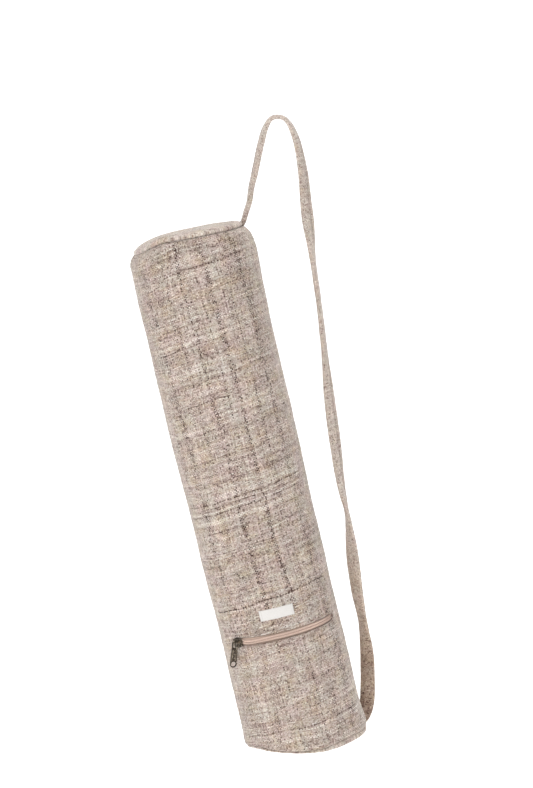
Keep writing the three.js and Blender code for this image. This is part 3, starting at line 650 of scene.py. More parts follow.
def body_lift(az, s):
    """Small shapes of the wall, outward in millimetres."""
    at = np.stack([80 * np.sin(np.radians(az)), 80 * np.cos(np.radians(az)), s], -1)
    lift = 0.55 * soft(at, 46.0, 1) + 0.26 * soft(at, 17.0, 2) + 0.16 * soft(at, 6.5, 3)
    # slub yarns: long low ridges round the bag and up it
    lift = lift + 0.20 * soft(np.stack([at[..., 0] / 7, at[..., 1] / 7, at[..., 2]], -1), 3.6, 4)
    round_mm = az * math.radians(1) * 80
    lift = lift + 0.12 * soft(np.stack([round_mm, np.zeros_like(az), s / 9], -1), 4.2, 5)
    own_s = s - column(WEFT_CLIMB["u"], WEFT_CLIMB["up"], round_mm)
    for line_at, low, high, amount, half in WEFT_LINES:
        near = np.exp(-(((own_s - line_at) / (half * WEFT_PITCH + 1.6)) ** 2))
        lift = lift + 0.30 * np.sign(amount) * near * smooth(low, low + 12, round_mm) * (1 - smooth(high - 12, high, round_mm))
    lift = lift + 1.0 * np.exp(-((turn_between(az, -90) / 30) ** 2) - ((s - 652) / 8) ** 2)
    lift = lift + 0.8 * np.exp(-((turn_between(az, -90) / 26) ** 2) - ((s - 4) / 9) ** 2)
    # welt: the edge turned under round the slot, with a groove where it is sewn
    d = slot_distance(az, s)
    lift = lift + 0.55 * (1 - smooth(6.0, 10.5, d)) * smooth(0.0, 1.4, d) - 0.42 * np.exp(-(((d - 3.0) / 0.8) ** 2))
    lift = lift - 0.45 * np.exp(-((d / 0.7) ** 2))
    # seam down the back where the cloth is closed to a tube
    back = turn_between(az, 180) * math.radians(1) * 80
    lift = lift - 1.3 * np.exp(-((back / 1.5) ** 2)) * smooth(1, 8, s) + 0.35 * np.exp(-(((np.abs(back) - 4.5) / 2.6) ** 2))
    # puckers at the two end seams
    pucker = np.sin(np.radians(az) * 47 + 2.2 * soft(at, 34.0, 6)) * 0.5 + soft(at, 7.0, 7)
    lift = lift + 0.34 * pucker * np.exp(-(((s - 664) / 7.0) ** 2)) + 0.30 * pucker * np.exp(-(((s - 4) / 6.0) ** 2))
    return lift


def body_piece():
    n1, n2, n3 = 92, 80, 80
    az = np.concatenate([
        np.linspace(-180, SLOT_LEFT, n1, endpoint=False),
        np.linspace(SLOT_LEFT, SLOT_RIGHT, n2, endpoint=False),
        np.linspace(SLOT_RIGHT, 180, n3, endpoint=False),
    ])
    bottom = walk([(5.0, 4.9), (2.6, 4.6), (1.3, 3.6), (1.3, 2.3), (2.6, 1.1), (5.2, 0.4), (9, 0.1), (14, 0)], 0.95)
    top = walk([(612, 0), (628, 0.1), (640, 0.4), (650, 1.3), (657.6, 3.2), (663.0, 6.1), (666.4, 8.9),
                (667.6, 10.4), (667.0, 11.5), (664.6, 12.2)], 1.75)
    near = 12.0
    low = np.arange(14, SLOT_LOW - near, 2.15)[1:]
    low = np.concatenate([low, np.arange(SLOT_LOW - near, SLOT_LOW, 0.86)])
    mid = np.linspace(SLOT_LOW, SLOT_HIGH, 6)
    high = np.concatenate([np.arange(SLOT_HIGH, SLOT_HIGH + near, 0.86)[1:], np.arange(SLOT_HIGH + near, 611, 2.15)])
    main = np.concatenate([low, mid, high])
    profile = np.concatenate([bottom, np.stack([main, np.zeros_like(main)], -1), top])
    r_low = len(bottom) + len(low)
    r_high = r_low + 5
    c_low, c_high = n1, n1 + n2
    A = np.broadcast_to(az, (len(profile), len(az))).copy()
    Sg = np.broadcast_to(profile[:, :1], A.shape).copy()
    inset = np.broadcast_to(profile[:, 1:], A.shape)
    # the slot's corners are round
    for r, c, du, dv in ((r_low, c_low, 1, 1), (r_low, c_high, -1, 1), (r_high, c_low, 1, -1), (r_high, c_high, -1, -1)):
        A[r, c] += du * 0.9 / (79 * math.radians(1))
        Sg[r, c] += dv * 0.9
        A[r, c + du] += du * 0.1
        Sg[r, c + du] += dv * 0.25
        A[r + dv, c] += du * 0.2
    # the slot narrows to a round right end
    for c, part in ((c_high, 0.62), (c_high - 1, 0.92)):
        span = slice(r_low, r_high + 1)
        Sg[span, c] = SLOT_MIDDLE + (Sg[span, c] - SLOT_MIDDLE) * part
    closing = 0.55 * smooth(30, 54, A) * (1 - smooth(SLOT_RIGHT + 2, SLOT_RIGHT + 8, A))
    above = (np.arange(len(profile)) >= r_high)[:, None]
    Sg = Sg - 0.9 * closing * above * np.exp(-(((Sg - SLOT_HIGH) / 7) ** 2))
    # and hangs open a little below the coil, more so beside the slider
    below = (np.arange(len(profile)) <= r_low)[:, None]
    slack = 0.75 * smooth(SLOT_LEFT - 4, SLOT_LEFT + 3, A) + 1.0 * (1 - smooth(-30, 8, A)) * smooth(SLOT_LEFT - 8, SLOT_LEFT, A)
    slack = slack * (1 - smooth(SLOT_RIGHT - 12, SLOT_RIGHT + 2, A))
    Sg = Sg - slack * below * np.exp(-(((Sg - SLOT_LOW) / 8) ** 2))
    lift = body_lift(A, Sg)
    corner = np.exp(-((turn_between(A, -92) / 36) ** 2)) * (Sg > 300)
    radius = wall_radius(A, Sg) - inset * (1 - 0.20 * corner) + lift
    # the lid's seam climbs at the front, and the hem hangs over the base's edge
    front_v = 80 * np.sin(np.radians(A))
    Sg = Sg + column(SEAM_LINE["az"], SEAM_LINE["up"], A) * smooth(650, 667, Sg)
    Sg = Sg - column(HEM_LINE["v"], HEM_LINE["down"], front_v) * (1 - smooth(2, 26, Sg))
    Sg = Sg + column(CORNER_LINE["v"], CORNER_LINE["up"], front_v) * (1 - smooth(0, 16, Sg))
    P = place(A, Sg, radius)
    # painted shade, 0 on the open wall: darker in the creases at the lid and base seams, under the slot's upper lip,
    # along its lower lip and sewn groove and round its right end; also darker along the back seam
    rough_az = 0.5 + 0.5 * soft(np.stack([A / 3.0, 0 * A, 0 * A], -1), 1.0, 8)
    at_lid = 0.95 - 0.7 * (1 - smooth(-62, -46, A))
    shade = np.maximum(smooth(8.4, 10.4, inset) * (Sg > 300) * at_lid * 0.8, smooth(2.2, 4.4, inset) * (Sg < 300)) * rough_az
    along_slot = (A > SLOT_LEFT) * (A < SLOT_RIGHT + 1)
    upper_lip = np.exp(-(((Sg - SLOT_HIGH + 0.9 * closing) / 0.5) ** 2)) * along_slot
    shade = np.maximum(shade, upper_lip * (0.10 + 0.80 * smooth(24, 54, A)))
    lower_lip = np.exp(-(((Sg - SLOT_LOW + slack + 0.4) / 0.75) ** 2)) * along_slot
    shade = np.maximum(shade, 0.42 * lower_lip)
    sewn = np.exp(-(((slot_distance(A, Sg) - 4.0) / 0.8) ** 2))
    shade = np.maximum(shade, 0.22 * sewn)
    end_lip = np.exp(-(((A - SLOT_RIGHT) / 1.1) ** 2)) * (Sg > SLOT_LOW) * (Sg < SLOT_HIGH)
    shade = np.maximum(shade, 0.9 * end_lip)
    back = turn_between(A, 180) * math.radians(1) * 80
    shade = np.maximum(shade, 0.7 * np.exp(-((back / 0.9) ** 2)))
    U = np.concatenate([az, [180.0]]) * math.radians(1) * 80
    far = np.concatenate([[0], np.cumsum(np.hypot(*np.diff(profile, axis=0).T))])
    far = far - far[r_low] + SLOT_LOW
    uv = weave_uv(U[None, :], far[:, None])
    b = Build()
    hole = lambda r, c: r_low <= r < r_high and c_low <= c < c_high
    start = b.grid(P, uv, wrap=True, skip=hole, extra=shade)
    # the wall's inner face, coarser up and down
    rows = sorted(set(list(range(0, len(profile), 14)) + list(range(r_low, r_high + 1)) + [len(profile) - 1]))
    slope = np.gradient(profile[:, 1], np.maximum(far, 0) + np.arange(len(far)) * 1e-6)
    inner = []
    for r in rows:
        before, after = profile[max(r - 1, 0)], profile[min(r + 1, len(profile) - 1)]
        ds, di = after[0] - before[0], after[1] - before[1]
        length = math.hypot(ds, di)
        depth = 2.5 if 6 < r < len(profile) - 6 else 0.9
        inner.append(place(A[r], Sg[r] - depth * di / length * 1.0, radius[r] - depth * max(ds / length, 0.0) - (0.6 if depth < 1 else 0)))
    inner = np.array(inner)
    uv_in = uv[rows]
    lost = lambda r, c: r_low <= rows[r] < r_high and c_low <= c < c_high
    # painted shade over the whole inner face
    start_in = b.grid(inner, uv_in, wrap=True, skip=lost, flip=True, extra=np.full(inner.shape[:2], 0.4))
    cols = len(az)
    for row_out, row_in, flip in ((0, 0, False), (len(profile) - 1, len(rows) - 1, True)):
        for c in range(cols):
            d = (c + 1) % cols
            q = [start_in + row_in * cols + c, start_in + row_in * cols + d,
                 start + row_out * cols + d, start + row_out * cols + c]
            t = [uv[row_out, c], uv[row_out, c + 1], uv[row_out, c + 1], uv[row_out, c]]
            if flip:
                q.reverse()
                t.reverse()
            b.face(q, t)
    # lip of the slot, rolled inward
    loop = [(r_low, c) for c in range(c_low, c_high)] + [(r, c_high) for r in range(r_low, r_high)]
    loop += [(r_high, c) for c in range(c_high, c_low, -1)] + [(r, c_low) for r in range(r_high, r_low, -1)]
    rings = [[start + r * cols + c for r, c in loop]]
    for depth, toward in ((1.0, 0.42), (1.8, 0.45), (2.3, 0.2)):
        pts = []
        for r, c in loop:
            ds = toward if r == r_low else -toward if r == r_high else 0.0
            da = toward if c == c_low else -toward if c == c_high else 0.0
            pts.append(place(A[r, c] + da / (79 * math.radians(1)), Sg[r, c] + ds, radius[r, c] - depth + 0.45))
        # painted shade on the rolled-in lip, darker the deeper it goes into the slot
        first = b.add(np.array(pts), [(0.10 + 0.08 * depth) if r == r_high else 0.14 + 0.10 * depth for r, c in loop])
        rings.append(list(range(first, first + len(pts))))
    index_in = {r: i for i, r in enumerate(rows)}
    rings.append([start_in + index_in[r] * cols + c for r, c in loop])
    for k in range(len(rings) - 1):
        for i in range(len(loop)):
            j = (i + 1) % len(loop)
            r0, c0 = loop[i]
            r1, c1 = loop[j]
            w0 = uv[r0, c0] + (0, 0.001 * k * (1 if r0 == r_low else -1))
            w1 = uv[r1, c1] + (0, 0.001 * k * (1 if r1 == r_low else -1))
            b.face([rings[k][i], rings[k][j], rings[k + 1][j], rings[k + 1][i]][::-1],
                   [w0, w1, w1, w0][::-1])
    obj = b.object("body_cloth", CLOTH)
    straighten(obj)
    return obj, dict(az=A, s=Sg, P=P, hole=hole)


body, body_grid = body_piece()
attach(body, "bag")
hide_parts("body")


# ------------------------------------------------------------------ lid and base
def round_end(name, profile, material, side, seed):
    """A round end panel. profile rows: millimetres in from the section's radius, height."""
    R0 = float(wall_radius(0.0, profile[0][1]))
    pts = [(R0 * part, s) for part, s in profile]
    path = walk(pts, 1.9)
    path = path[:-1]
    cols = 168
    az = np.linspace(-180, 180, cols, endpoint=False)
    A = np.broadcast_to(az, (len(path), cols))
    part = path[:, :1] / R0
    Sg = np.broadcast_to(path[:, 1:], A.shape)
    at = np.stack([R0 * part * np.sin(np.radians(A)), R0 * part * np.cos(np.radians(A)), Sg], -1)
    lift = 0.5 * soft(at, 30.0, seed) + 0.22 * soft(at, 9.0, seed + 1) + 0.12 * soft(at, 4.5, seed + 2)
    far = np.concatenate([[0], np.cumsum(np.hypot(*np.diff(path, axis=0).T))])
    edge = np.exp(-((far / 5.0) ** 2))[:, None]
    pucker = np.sin(np.radians(A) * 47 + 2.2 * soft(at, 34.0, 6)) * 0.5 + soft(at, 7.0, 7)
    lift = lift * (1 - edge * 0.5) + 0.30 * pucker * edge
    radius = wall_radius(A, Sg) * part

    def shifted(A, S, part):
        """Heights with the seam's climb at the lid, or the hem at the base."""
        if side > 0:
            return S + column(SEAM_LINE["az"], SEAM_LINE["up"], A) * smooth(0.45, 0.85, part)
        v = 80 * np.sin(np.radians(A)) * part
        S = S - column(HEM_LINE["v"], HEM_LINE["down"], v) * smooth(-5.6, 2.4, S)
        S = S + column(CORNER_LINE["v"], CORNER_LINE["up"], v)
        return S - 1.2 * smooth(-40, 0, v) * (1 - smooth(-5.6, 1.4, S))

    radius = radius + 0.7 * soft(at, 5.0, seed + 5) * edge
    if side > 0:
        corner = np.exp(-((turn_between(A, -92) / 36) ** 2)) * smooth(0.5, 0.86, part)
        radius = radius + 2.1 * corner
        Sg = Sg - 1.4 * corner
    P = place(A, shifted(A, Sg, part) + side * lift, radius)
    rough_az = 0.65 + 0.35 * soft(np.stack([A / 2.6, 0 * A, 0 * A], -1), 1.0, seed + 6)
    # painted shade in the seam's crease at the panel's rim
    shade = np.broadcast_to((1 - smooth(0.6, 2.4, far))[:, None], A.shape) * rough_az * (1.0 if side < 0 else 0.95 - 0.7 * (1 - smooth(-62, -46, A)))
    u = (at[..., 0]) * MM
    v = (at[..., 1]) * MM
    uv = np.stack([u, v], -1)
    uv = np.concatenate([uv, uv[:, :1]], 1)
    b = Build()
    start = b.grid(P, uv, wrap=True, extra=shade, flip=side < 0)
    pole = b.add(place(0.0, pts[-1][1] + side * 0.1, 0.0)[None])
    last = start + (len(path) - 1) * cols
    for c in range(cols):
        d = (c + 1) % cols
        q = [last + c, last + d, pole]
        t = [uv[-1, c], uv[-1, c + 1], np.array([0.0, 0.0])]
        if side < 0:
            q.reverse()
            t.reverse()
        b.face(q, t)
    # inner face
    rows = list(range(0, len(path), 5))
    if rows[-1] != len(path) - 1:
        rows.append(len(path) - 1)
    inner = np.array([
        place(az, shifted(az, path[r, 1] + 0 * az, part[r, 0]) - side * (2.5 if r else 0.4),
              wall_radius(az, path[r, 1]) * part[r, 0] - (1.4 if r == 0 else 2.0 if r < 8 else 0))
        for r in rows
    ])
    # painted shade over the inner face
    start_in = b.grid(inner, uv[rows], wrap=True, flip=side > 0, extra=np.full(inner.shape[:2], 0.4))
    pole_in = b.add(place(0.0, pts[-1][1] - side * 2.5, 0.0)[None])
    last_in = start_in + (len(rows) - 1) * cols
    for c in range(cols):
        d = (c + 1) % cols
        q = [last_in + c, last_in + d, pole_in]
        t = [uv[-1, c], uv[-1, c + 1], np.array([0.0, 0.0])]
        if side > 0:
            q.reverse()
            t.reverse()
        b.face(q, t)
        e = [start + d, start + c, start_in + c, start_in + d]
        t = [uv[0, c + 1], uv[0, c], uv[0, c], uv[0, c + 1]]
        if side < 0:
            e.reverse()
            t.reverse()
        b.face(e, t)
    obj = b.object(name, material)
    straighten(obj)
    return obj


lid = round_end("lid_cloth", [
    (0.850, 666.4), (0.858, 667.6), (0.868, 668.5), (0.879, 669.6), (0.880, 670.9), (0.870, 672.4),
    (0.845, 673.9), (0.80, 675.5), (0.70, 677.0), (0.52, 678.3), (0.32, 679.1), (0.14, 679.4), (0.0, 679.4),
], LID_CLOTH, 1, 20)
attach(lid, "bag")
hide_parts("lid")

base = round_end("base_cloth", [
    (0.945, 3.4), (0.955, 2.0), (0.966, 0.9), (0.979, 0.2), (0.987, -1.2), (0.987, -2.6), (0.975, -4.2),
    (0.945, -5.6), (0.88, -6.7), (0.74, -7.7), (0.55, -8.9), (0.36, -9.6), (0.16, -9.9), (0.0, -10.0),
], LID_CLOTH, -1, 30)
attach(base, "bag")
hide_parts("base")


# ------------------------------------------------------------------ strap
def centripetal(points, per=14):
    """Dense points on the centripetal Catmull-Rom curve through the rows (as part of row index)."""
    p = np.asarray(points, float)
    n = len(p)
    out, at = [], []
    for i in range(n - 1):
        p1, p2 = p[i], p[i + 1]
        p0 = p[i - 1] if i > 0 else 2 * p1 - p2
        p3 = p[i + 2] if i + 2 < n else 2 * p2 - p1
        d = [max(float(np.sum((b - a) ** 2)) ** 0.25, 1e-6) for a, b in ((p0, p1), (p1, p2), (p2, p3))]
        m1 = ((p1 - p0) / d[0] - (p2 - p0) / (d[0] + d[1]) + (p2 - p1) / d[1]) * d[1]
        m2 = ((p2 - p1) / d[1] - (p3 - p1) / (d[1] + d[2]) + (p3 - p2) / d[2]) * d[1]
        for q in range(per):
            t = q / per
            out.append(p1 + m1 * t + (-3 * p1 + 3 * p2 - 2 * m1 - m2) * t**2 + (2 * p1 - 2 * p2 + m1 + m2) * t**3)
            at.append(i + t)
    out.append(p[-1])
    at.append(n - 1)
    return np.array(out), np.array(at)


def strap_frames(step):
    fine, at = centripetal([r[:3] for r in STRAP_ROUTE])
    far = np.concatenate([[0], np.cumsum(np.linalg.norm(np.diff(fine, axis=0), axis=1))])
    count = int(round(far[-1] / step))
    along = np.linspace(0, far[-1], count + 1)
    centre = np.stack([np.interp(along, far, fine[:, k]) for k in range(3)], -1)
    row = np.interp(along, far, at)
    turn = np.radians(column(range(len(STRAP_ROUTE)), [r[3] for r in STRAP_ROUTE], row))
    tangent = np.gradient(centre, axis=0)
    tangent /= np.linalg.norm(tangent, axis=1, keepdims=True)
    w = np.stack([np.sin(turn), np.cos(turn), 0 * turn], -1)
    w -= np.sum(w * tangent, 1, keepdims=True) * tangent
    w /= np.linalg.norm(w, axis=1, keepdims=True)
    t = np.cross(tangent, w)
    return along, centre, w, t


def strap_piece():
    along, centre, w, t = strap_frames(2.0)
    sides = 44
    a = 2 * np.pi * np.arange(sides) / sides
    c, n = np.cos(a), np.sin(a)
    cu = np.sign(c) * np.abs(c) ** 0.62 * STRAP_W / 2
    nu = np.sign(n) * np.abs(n) ** 0.80 * STRAP_T / 2
    # the folded cloth's edge makes a lengthwise crease on one face, off the middle
    crease = np.exp(-(((cu - 2.6) / 1.0) ** 2)) * (n > 0)
    nu = nu - 1.2 * crease
    girth = np.concatenate([[0], np.cumsum(np.hypot(np.diff(np.append(cu, cu[0])), np.diff(np.append(nu, nu[0]))))])
    pressed = np.exp(-(((along - 154) / 24) ** 2))[:, None]
    centre = centre + pressed * [0, 0, 0.8]
    P = centre[:, None] + w[:, None] * cu[None, :, None] + t[:, None] * (nu[None, :] * (1 - 0.20 * pressed))[..., None]
    out = w[:, None] * (c * 0.35)[None, :, None] + t[:, None] * n[None, :, None]
    lift = 0.30 * soft(P, 19.0, 40) + 0.22 * soft(P, 7.0, 41) + 0.10 * soft(P, 3.6, 42)
    P = (P + out * lift[..., None]) * MM
    uv = np.stack(np.broadcast_arrays((girth[None, :] - girth[-1] / 2) * MM, along[:, None] * MM), -1)
    # painted shade in the lengthwise crease and towards both ends, where the strap meets the bag
    shade = np.broadcast_to((0.38 * crease)[None, :], P.shape[:2]).copy()
    ends = np.minimum(along, along[-1] - along)
    shade = np.maximum(shade, 0.6 * (1 - smooth(3, 13, ends))[:, None])
    b = Build()
    start = b.grid(P, uv, wrap=True, extra=shade)
    for row, flip in ((0, True), (len(along) - 1, False)):
        middle = b.add(centre[row][None] * MM)
        for i in range(sides):
            j = (i + 1) % sides
            q = [start + row * sides + i, start + row * sides + j, middle]
            tt = [uv[row, i], uv[row, i + 1], uv[row, i]]
            if flip:
                q.reverse()
                tt.reverse()
            b.face(q, tt)
    obj = b.object("strap_cloth_band", STRAP_CLOTH)
    straighten(obj)
    return obj


strap = strap_piece()
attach(strap, "bag")
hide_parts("strap")


# ------------------------------------------------------------------ pocket zip
def coil_middle(az):
    """Height of the coil's middle line: the slider pulls it down a little."""
    return SLOT_MIDDLE - 2.2 * (1 - smooth(SLIDER_AZ + 10, SLIDER_AZ + 40, az)) * smooth(SLIDER_AZ + 1, SLIDER_AZ + 8, az)


def rise_in_slot(az, s):
    """The zip stands up a little in the slot between its ends."""
    along = smooth(SLIDER_AZ + 7, SLIDER_AZ + 14, az) * (1 - smooth(SLOT_RIGHT - 7, SLOT_RIGHT - 1, az))
    return 1.05 * along * smooth(SLOT_LOW + 0.3, SLOT_LOW + 1.6, s) * (1 - smooth(SLOT_HIGH - 1.6, SLOT_HIGH - 0.3, s))


def slab(b, az_from, az_to, low, high, near, far, cols, rows=2, bulge=0.0, extra=0.0):
    """A closed curved slab that follows the wall; low and high may follow the azimuth."""
    az = np.linspace(az_from, az_to, cols + 1)
    A = np.broadcast_to(az, (rows + 1, cols + 1))
    lo = low(A) if callable(low) else np.full(A.shape, float(low))
    hi = high(A) if callable(high) else np.full(A.shape, float(high))
    Sg = lo + (hi - lo) * np.linspace(0, 1, rows + 1)[:, None]
    r = wall_radius(A, Sg)
    hump = bulge * (1 - ((Sg - (lo + hi) / 2) / ((hi - lo) / 2)) ** 2) + rise_in_slot(A, Sg)
    front, back = place(A, Sg, r + far + hump), place(A, Sg, r + near)
    tint = extra(A, Sg) if callable(extra) else np.full(A.shape, extra)
    uv = np.stack([A * math.radians(1) * 80 * MM, Sg * MM], -1)
    f = b.grid(front, uv, extra=tint)
    g = b.grid(back, uv, flip=True, extra=tint)
    n, m = cols + 1, rows + 1
    rim = [i for i in range(n)] + [k * n + n - 1 for k in range(1, m)]
    rim += [(m - 1) * n + i for i in range(n - 2, -1, -1)] + [k * n for k in range(m - 2, 0, -1)]
    flat = uv.reshape(-1, 2)
    for i in range(len(rim)):
        p, q = rim[i], rim[(i + 1) % len(rim)]
        b.face([f + q, f + p, g + p, g + q], [flat[q], flat[p], flat[p], flat[q]])


def tape_material():
    k = Shader("zip_tape")
    u, v = k.plane()
    ribs = k.math("SINE", k.mul(v, 2 * math.pi / 0.9))
    cross = k.math("SINE", k.mul(u, 2 * math.pi / 0.55))
    mottle = k.noise(k.pair(k.mul(u, 1 / 9.0), k.mul(v, 1 / 2.0)), 1.0, 2.0)
    colour = k.mix(k.step(-0.9, 0.6, ribs), srgb(196, 169, 152), srgb(214, 190, 174))
    colour = k.mix(k.centred(mottle, 0.5), colour, srgb(224, 204, 190))
    # painted shade from the 'shade' attribute: shadows of the coil's edges and the slot's lips
    colour = k.mix(k.mul(k.attribute("shade"), 0.9), colour, srgb(120, 92, 78), "MULTIPLY")
    k.set(Base_Color=colour, Roughness=0.75, Sheen_Weight=0.2, Sheen_Roughness=0.5)
    k.set(Normal=k.bump(k.add(k.mul(ribs, 0.5), k.mul(cross, 0.3)), 0.0002, 0.8))
    return k.material


def coil_material():
    k = Shader("zip_coil")
    u, v = k.plane()
    mottle = k.noise(k.pair(k.mul(u, 1 / 3.0), k.mul(v, 1 / 2.0)), 1.0, 2.0)
    colour = k.mix(mottle, srgb(220, 196, 181), srgb(234, 213, 200))
    # painted shade from the 'shade' attribute
    colour = k.mix(k.mul(k.attribute("shade"), 0.9), colour, srgb(120, 88, 74), "MULTIPLY")
    k.set(Base_Color=colour, Roughness=0.5, Specular_IOR_Level=0.3)
    k.set(Normal=k.bump(mottle, 0.0001, 0.4))
    return k.material


TAPE, COIL = tape_material(), coil_material()
def tape_shade(A, S):
    """Painted shadow where the coil's edge and the slot's lips cast it."""
    off = S - coil_middle(A)
    beside = np.exp(-(((np.abs(off) - 3.3) / 0.5) ** 2))
    return np.maximum(0.40 * beside, np.where(off > 0, 0.12 + 0.3 * smooth(20, 45, A), 0.36) * smooth(3.0, 4.0, np.abs(off)))


for name, low, high, node in (
    ("zip_tape_upper", lambda a: coil_middle(a) + 0.2, TAPE_HIGH, "pocket_zip_tape_upper"),
    ("zip_tape_lower", TAPE_LOW, lambda a: coil_middle(a) - 0.2, "pocket_zip_tape_lower"),
):
    b = Build()
    slab(b, SLOT_LEFT - 6, SLOT_RIGHT + 6, low, high, TAPE_FAR - TAPE_THICK, TAPE_FAR, 110, 22, extra=tape_shade)
    # the edge cord sewn down beside the coil
    side = 1 if "upper" in name else -1
    slab(b, SLOT_LEFT - 6, SLOT_RIGHT + 4, lambda a: coil_middle(a) + side * 4.2 - 0.5,
         lambda a: coil_middle(a) + side * 4.2 + 0.5, TAPE_FAR, TAPE_FAR + 0.3, 110, 4, bulge=0.25, extra=0.05)
    tape = b.object(name, TAPE)
    straighten(tape)
    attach(tape, "bag")
    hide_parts(node)


def coil_piece():
    b = Build()
    start_az, end_az = SLIDER_AZ - 1.0, SLOT_RIGHT - 0.4
    # painted shade on the strip behind the teeth, seen through the gap between them
    slab(b, start_az, end_az, lambda a: coil_middle(a) - 2.2, lambda a: coil_middle(a) + 2.2,
         COIL_NEAR + 0.1, COIL_NEAR + 0.6, 100, 2, extra=0.66)
    pitch = 1.3 / (79 * math.radians(1))
    rings, around = 5, 8
    for side in (-1, 1):
        count = int((end_az - start_az) / pitch) - 1
        for i in range(count):
            at = start_az + pitch * (i + 0.5 + (0.25 if side > 0 else -0.25))
            pts = []
            for r in range(rings):
                f = r / (rings - 1)
                across = float(coil_middle(at)) + side * (0.58 + f * 2.40)
                fat = math.sin(math.pi * (0.12 + 0.76 * f)) ** 0.5
                for q in range(around):
                    a = 2 * math.pi * q / around
                    along = 0.44 * fat * math.cos(a) / (79 * math.radians(1))
                    rise = COIL_NEAR + 0.78 + 0.72 * fat * math.sin(a) + float(rise_in_slot(at, across))
                    pts.append((at + along, across, rise))
            pts = np.array(pts)
            world = place(pts[:, 0], pts[:, 1], wall_radius(pts[:, 0], pts[:, 1]) + pts[:, 2]).reshape(rings, around, 3)
            uv = np.stack([pts[:, 0].reshape(rings, around) * math.radians(1) * 80 * MM, pts[:, 1].reshape(rings, around) * MM], -1)
            uv = np.concatenate([uv, uv[:, :1]], 1)
            # painted shade on the teeth towards the slot's right end
            first = b.grid(world, uv, wrap=True, extra=np.full((rings, around), 0.46 * float(smooth(34, 58, at))))
            b.face([first + q for q in range(around)], [uv[0, q] for q in range(around)])
            top = first + (rings - 1) * around
            b.face([top + q for q in range(around - 1, -1, -1)], [uv[-1, q] for q in range(around)])
    obj = b.object("zip_coil_teeth", COIL)
    straighten(obj)
    return obj


coil = coil_piece()
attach(coil, "bag")
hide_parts("pocket_zip_coil")


# ------------------------------------------------------------------ slider and pull tab
def bronze_material():
    k = Shader("antique_bronze")
    n = k.node("ShaderNodeTexCoord")
    where = n.outputs["Object"]
    worn = k.noise(where, 900.0, 3.0, 0.6, "3D")
    spots = k.noise(where, 320.0, 2.0, 0.6, "3D")
    geo = k.node("ShaderNodeNewGeometry")
    # lighter worn edges and rubbed specks: partly wear, partly painted glints of light
    edge = k.step(0.52, 0.62, geo.outputs["Pointiness"])
    colour = k.mix(k.step(0.35, 0.7, worn), srgb(42, 36, 31), srgb(82, 72, 62))
    colour = k.mix(k.mul(edge, k.step(0.25, 0.5, spots)), colour, srgb(196, 180, 158))
    rub_wear_and_glint = k.noise(where, 620.0, 2.0, 0.6, "3D")
    colour = k.mix(k.mul(k.step(0.58, 0.64, rub_wear_and_glint), 0.8), colour, srgb(176, 164, 146))
    rough = k.math("MULTIPLY_ADD", spots, 0.25, 0.18)
    k.set(Base_Color=colour, Metallic=0.9, Roughness=rough)
    k.set(Normal=k.bump(worn, 0.00006, 0.5))
    return k.material


BRONZE = bronze_material()


def outline_piece(loops, thick, bevel, name, resolution=2):
    """A bevelled plate from flat outlines (millimetres); the first is outside, the others are holes."""
    curve = bpy.data.curves.new(name, "CURVE")
    curve.dimensions = "2D"
    curve.fill_mode = "BOTH"
    curve.extrude = (thick / 2 - bevel) * MM
    curve.bevel_depth = bevel * MM
    curve.bevel_resolution = resolution
    curve.offset = -bevel * MM
    for loop in loops:
        s = curve.splines.new("POLY")
        s.points.add(len(loop) - 1)
        for p, (x, y) in zip(s.points, loop):
            p.co = (x * MM, y * MM, 0, 1)
        s.use_cyclic_u = True
    holder = bpy.data.objects.new(name, curve)
    bpy.context.scene.collection.objects.link(holder)
    bpy.context.view_layer.update()
    mesh = bpy.data.meshes.new_from_object(holder.evaluated_get(bpy.context.evaluated_depsgraph_get()))
    bpy.data.objects.remove(holder)
    bpy.data.curves.remove(curve)
    return mesh


def arc(cx, cy, r, a0, a1, n):
    return [(cx + r * math.cos(math.radians(a0 + (a1 - a0) * i / n)),
             cy + r * math.sin(math.radians(a0 + (a1 - a0) * i / n))) for i in range(n + 1)]


def joined(name, meshes, material):
    """One object of several meshes, each with its matrix."""
    points, faces, smooth_flags = [], [], []
    for mesh, matrix in meshes:
        start = len(points)
        points += [tuple(matrix @ v.co) for v in mesh.vertices]
        faces += [[start + i for i in p.vertices] for p in mesh.polygons]
    obj = make(name, points, faces, None, False, material)
    import bmesh

    bm = bmesh.new()
    bm.from_mesh(obj.data)
    bmesh.ops.remove_doubles(bm, verts=bm.verts, dist=1e-6)
    bmesh.ops.recalc_face_normals(bm, faces=bm.faces)
    bm.to_mesh(obj.data)
    bm.free()
    for p in obj.data.polygons:
        p.use_smooth = True
    obj.data.set_sharp_from_angle(angle=math.radians(40))
    return obj


surface_point = place(SLIDER_AZ, SLOT_MIDDLE, wall_radius(SLIDER_AZ, SLOT_MIDDLE))
ca, sa = math.cos(math.radians(SLIDER_AZ)), math.sin(math.radians(SLIDER_AZ))


def bag_direction(v, y, s):
    return Vector((AXIS_V * v + AXIS_Y * y + AXIS_S * s).tolist())


SX, SY, SZ = bag_direction(ca, sa, 0), bag_direction(0, 0, 1), bag_direction(sa, -ca, 0)
SLIDER = Matrix.Translation(Vector(surface_point.tolist())) @ Matrix((SX, SY, SZ)).transposed().to_4x4()


def plate_outline(grow=0.0):
    l, w = SLIDER_LONG / 2 + grow, SLIDER_WIDE / 2 + grow
    n, r = w * 0.72, 1.6
    pts = arc(l - r, -n + r, r, -90, 0, 5) + arc(l - r, n - r, r, 0, 90, 5)
    pts += [(l * 0.4, n + (w - n) * 0.35), (-l * 0.1, w)]
    pts += arc(-l + r, w - r, r, 90, 180, 5) + arc(-l + r, -w + r, r, 180, 270, 5)
    pts += [(-l * 0.1, -w), (l * 0.4, -n - (w - n) * 0.35)]
    return pts


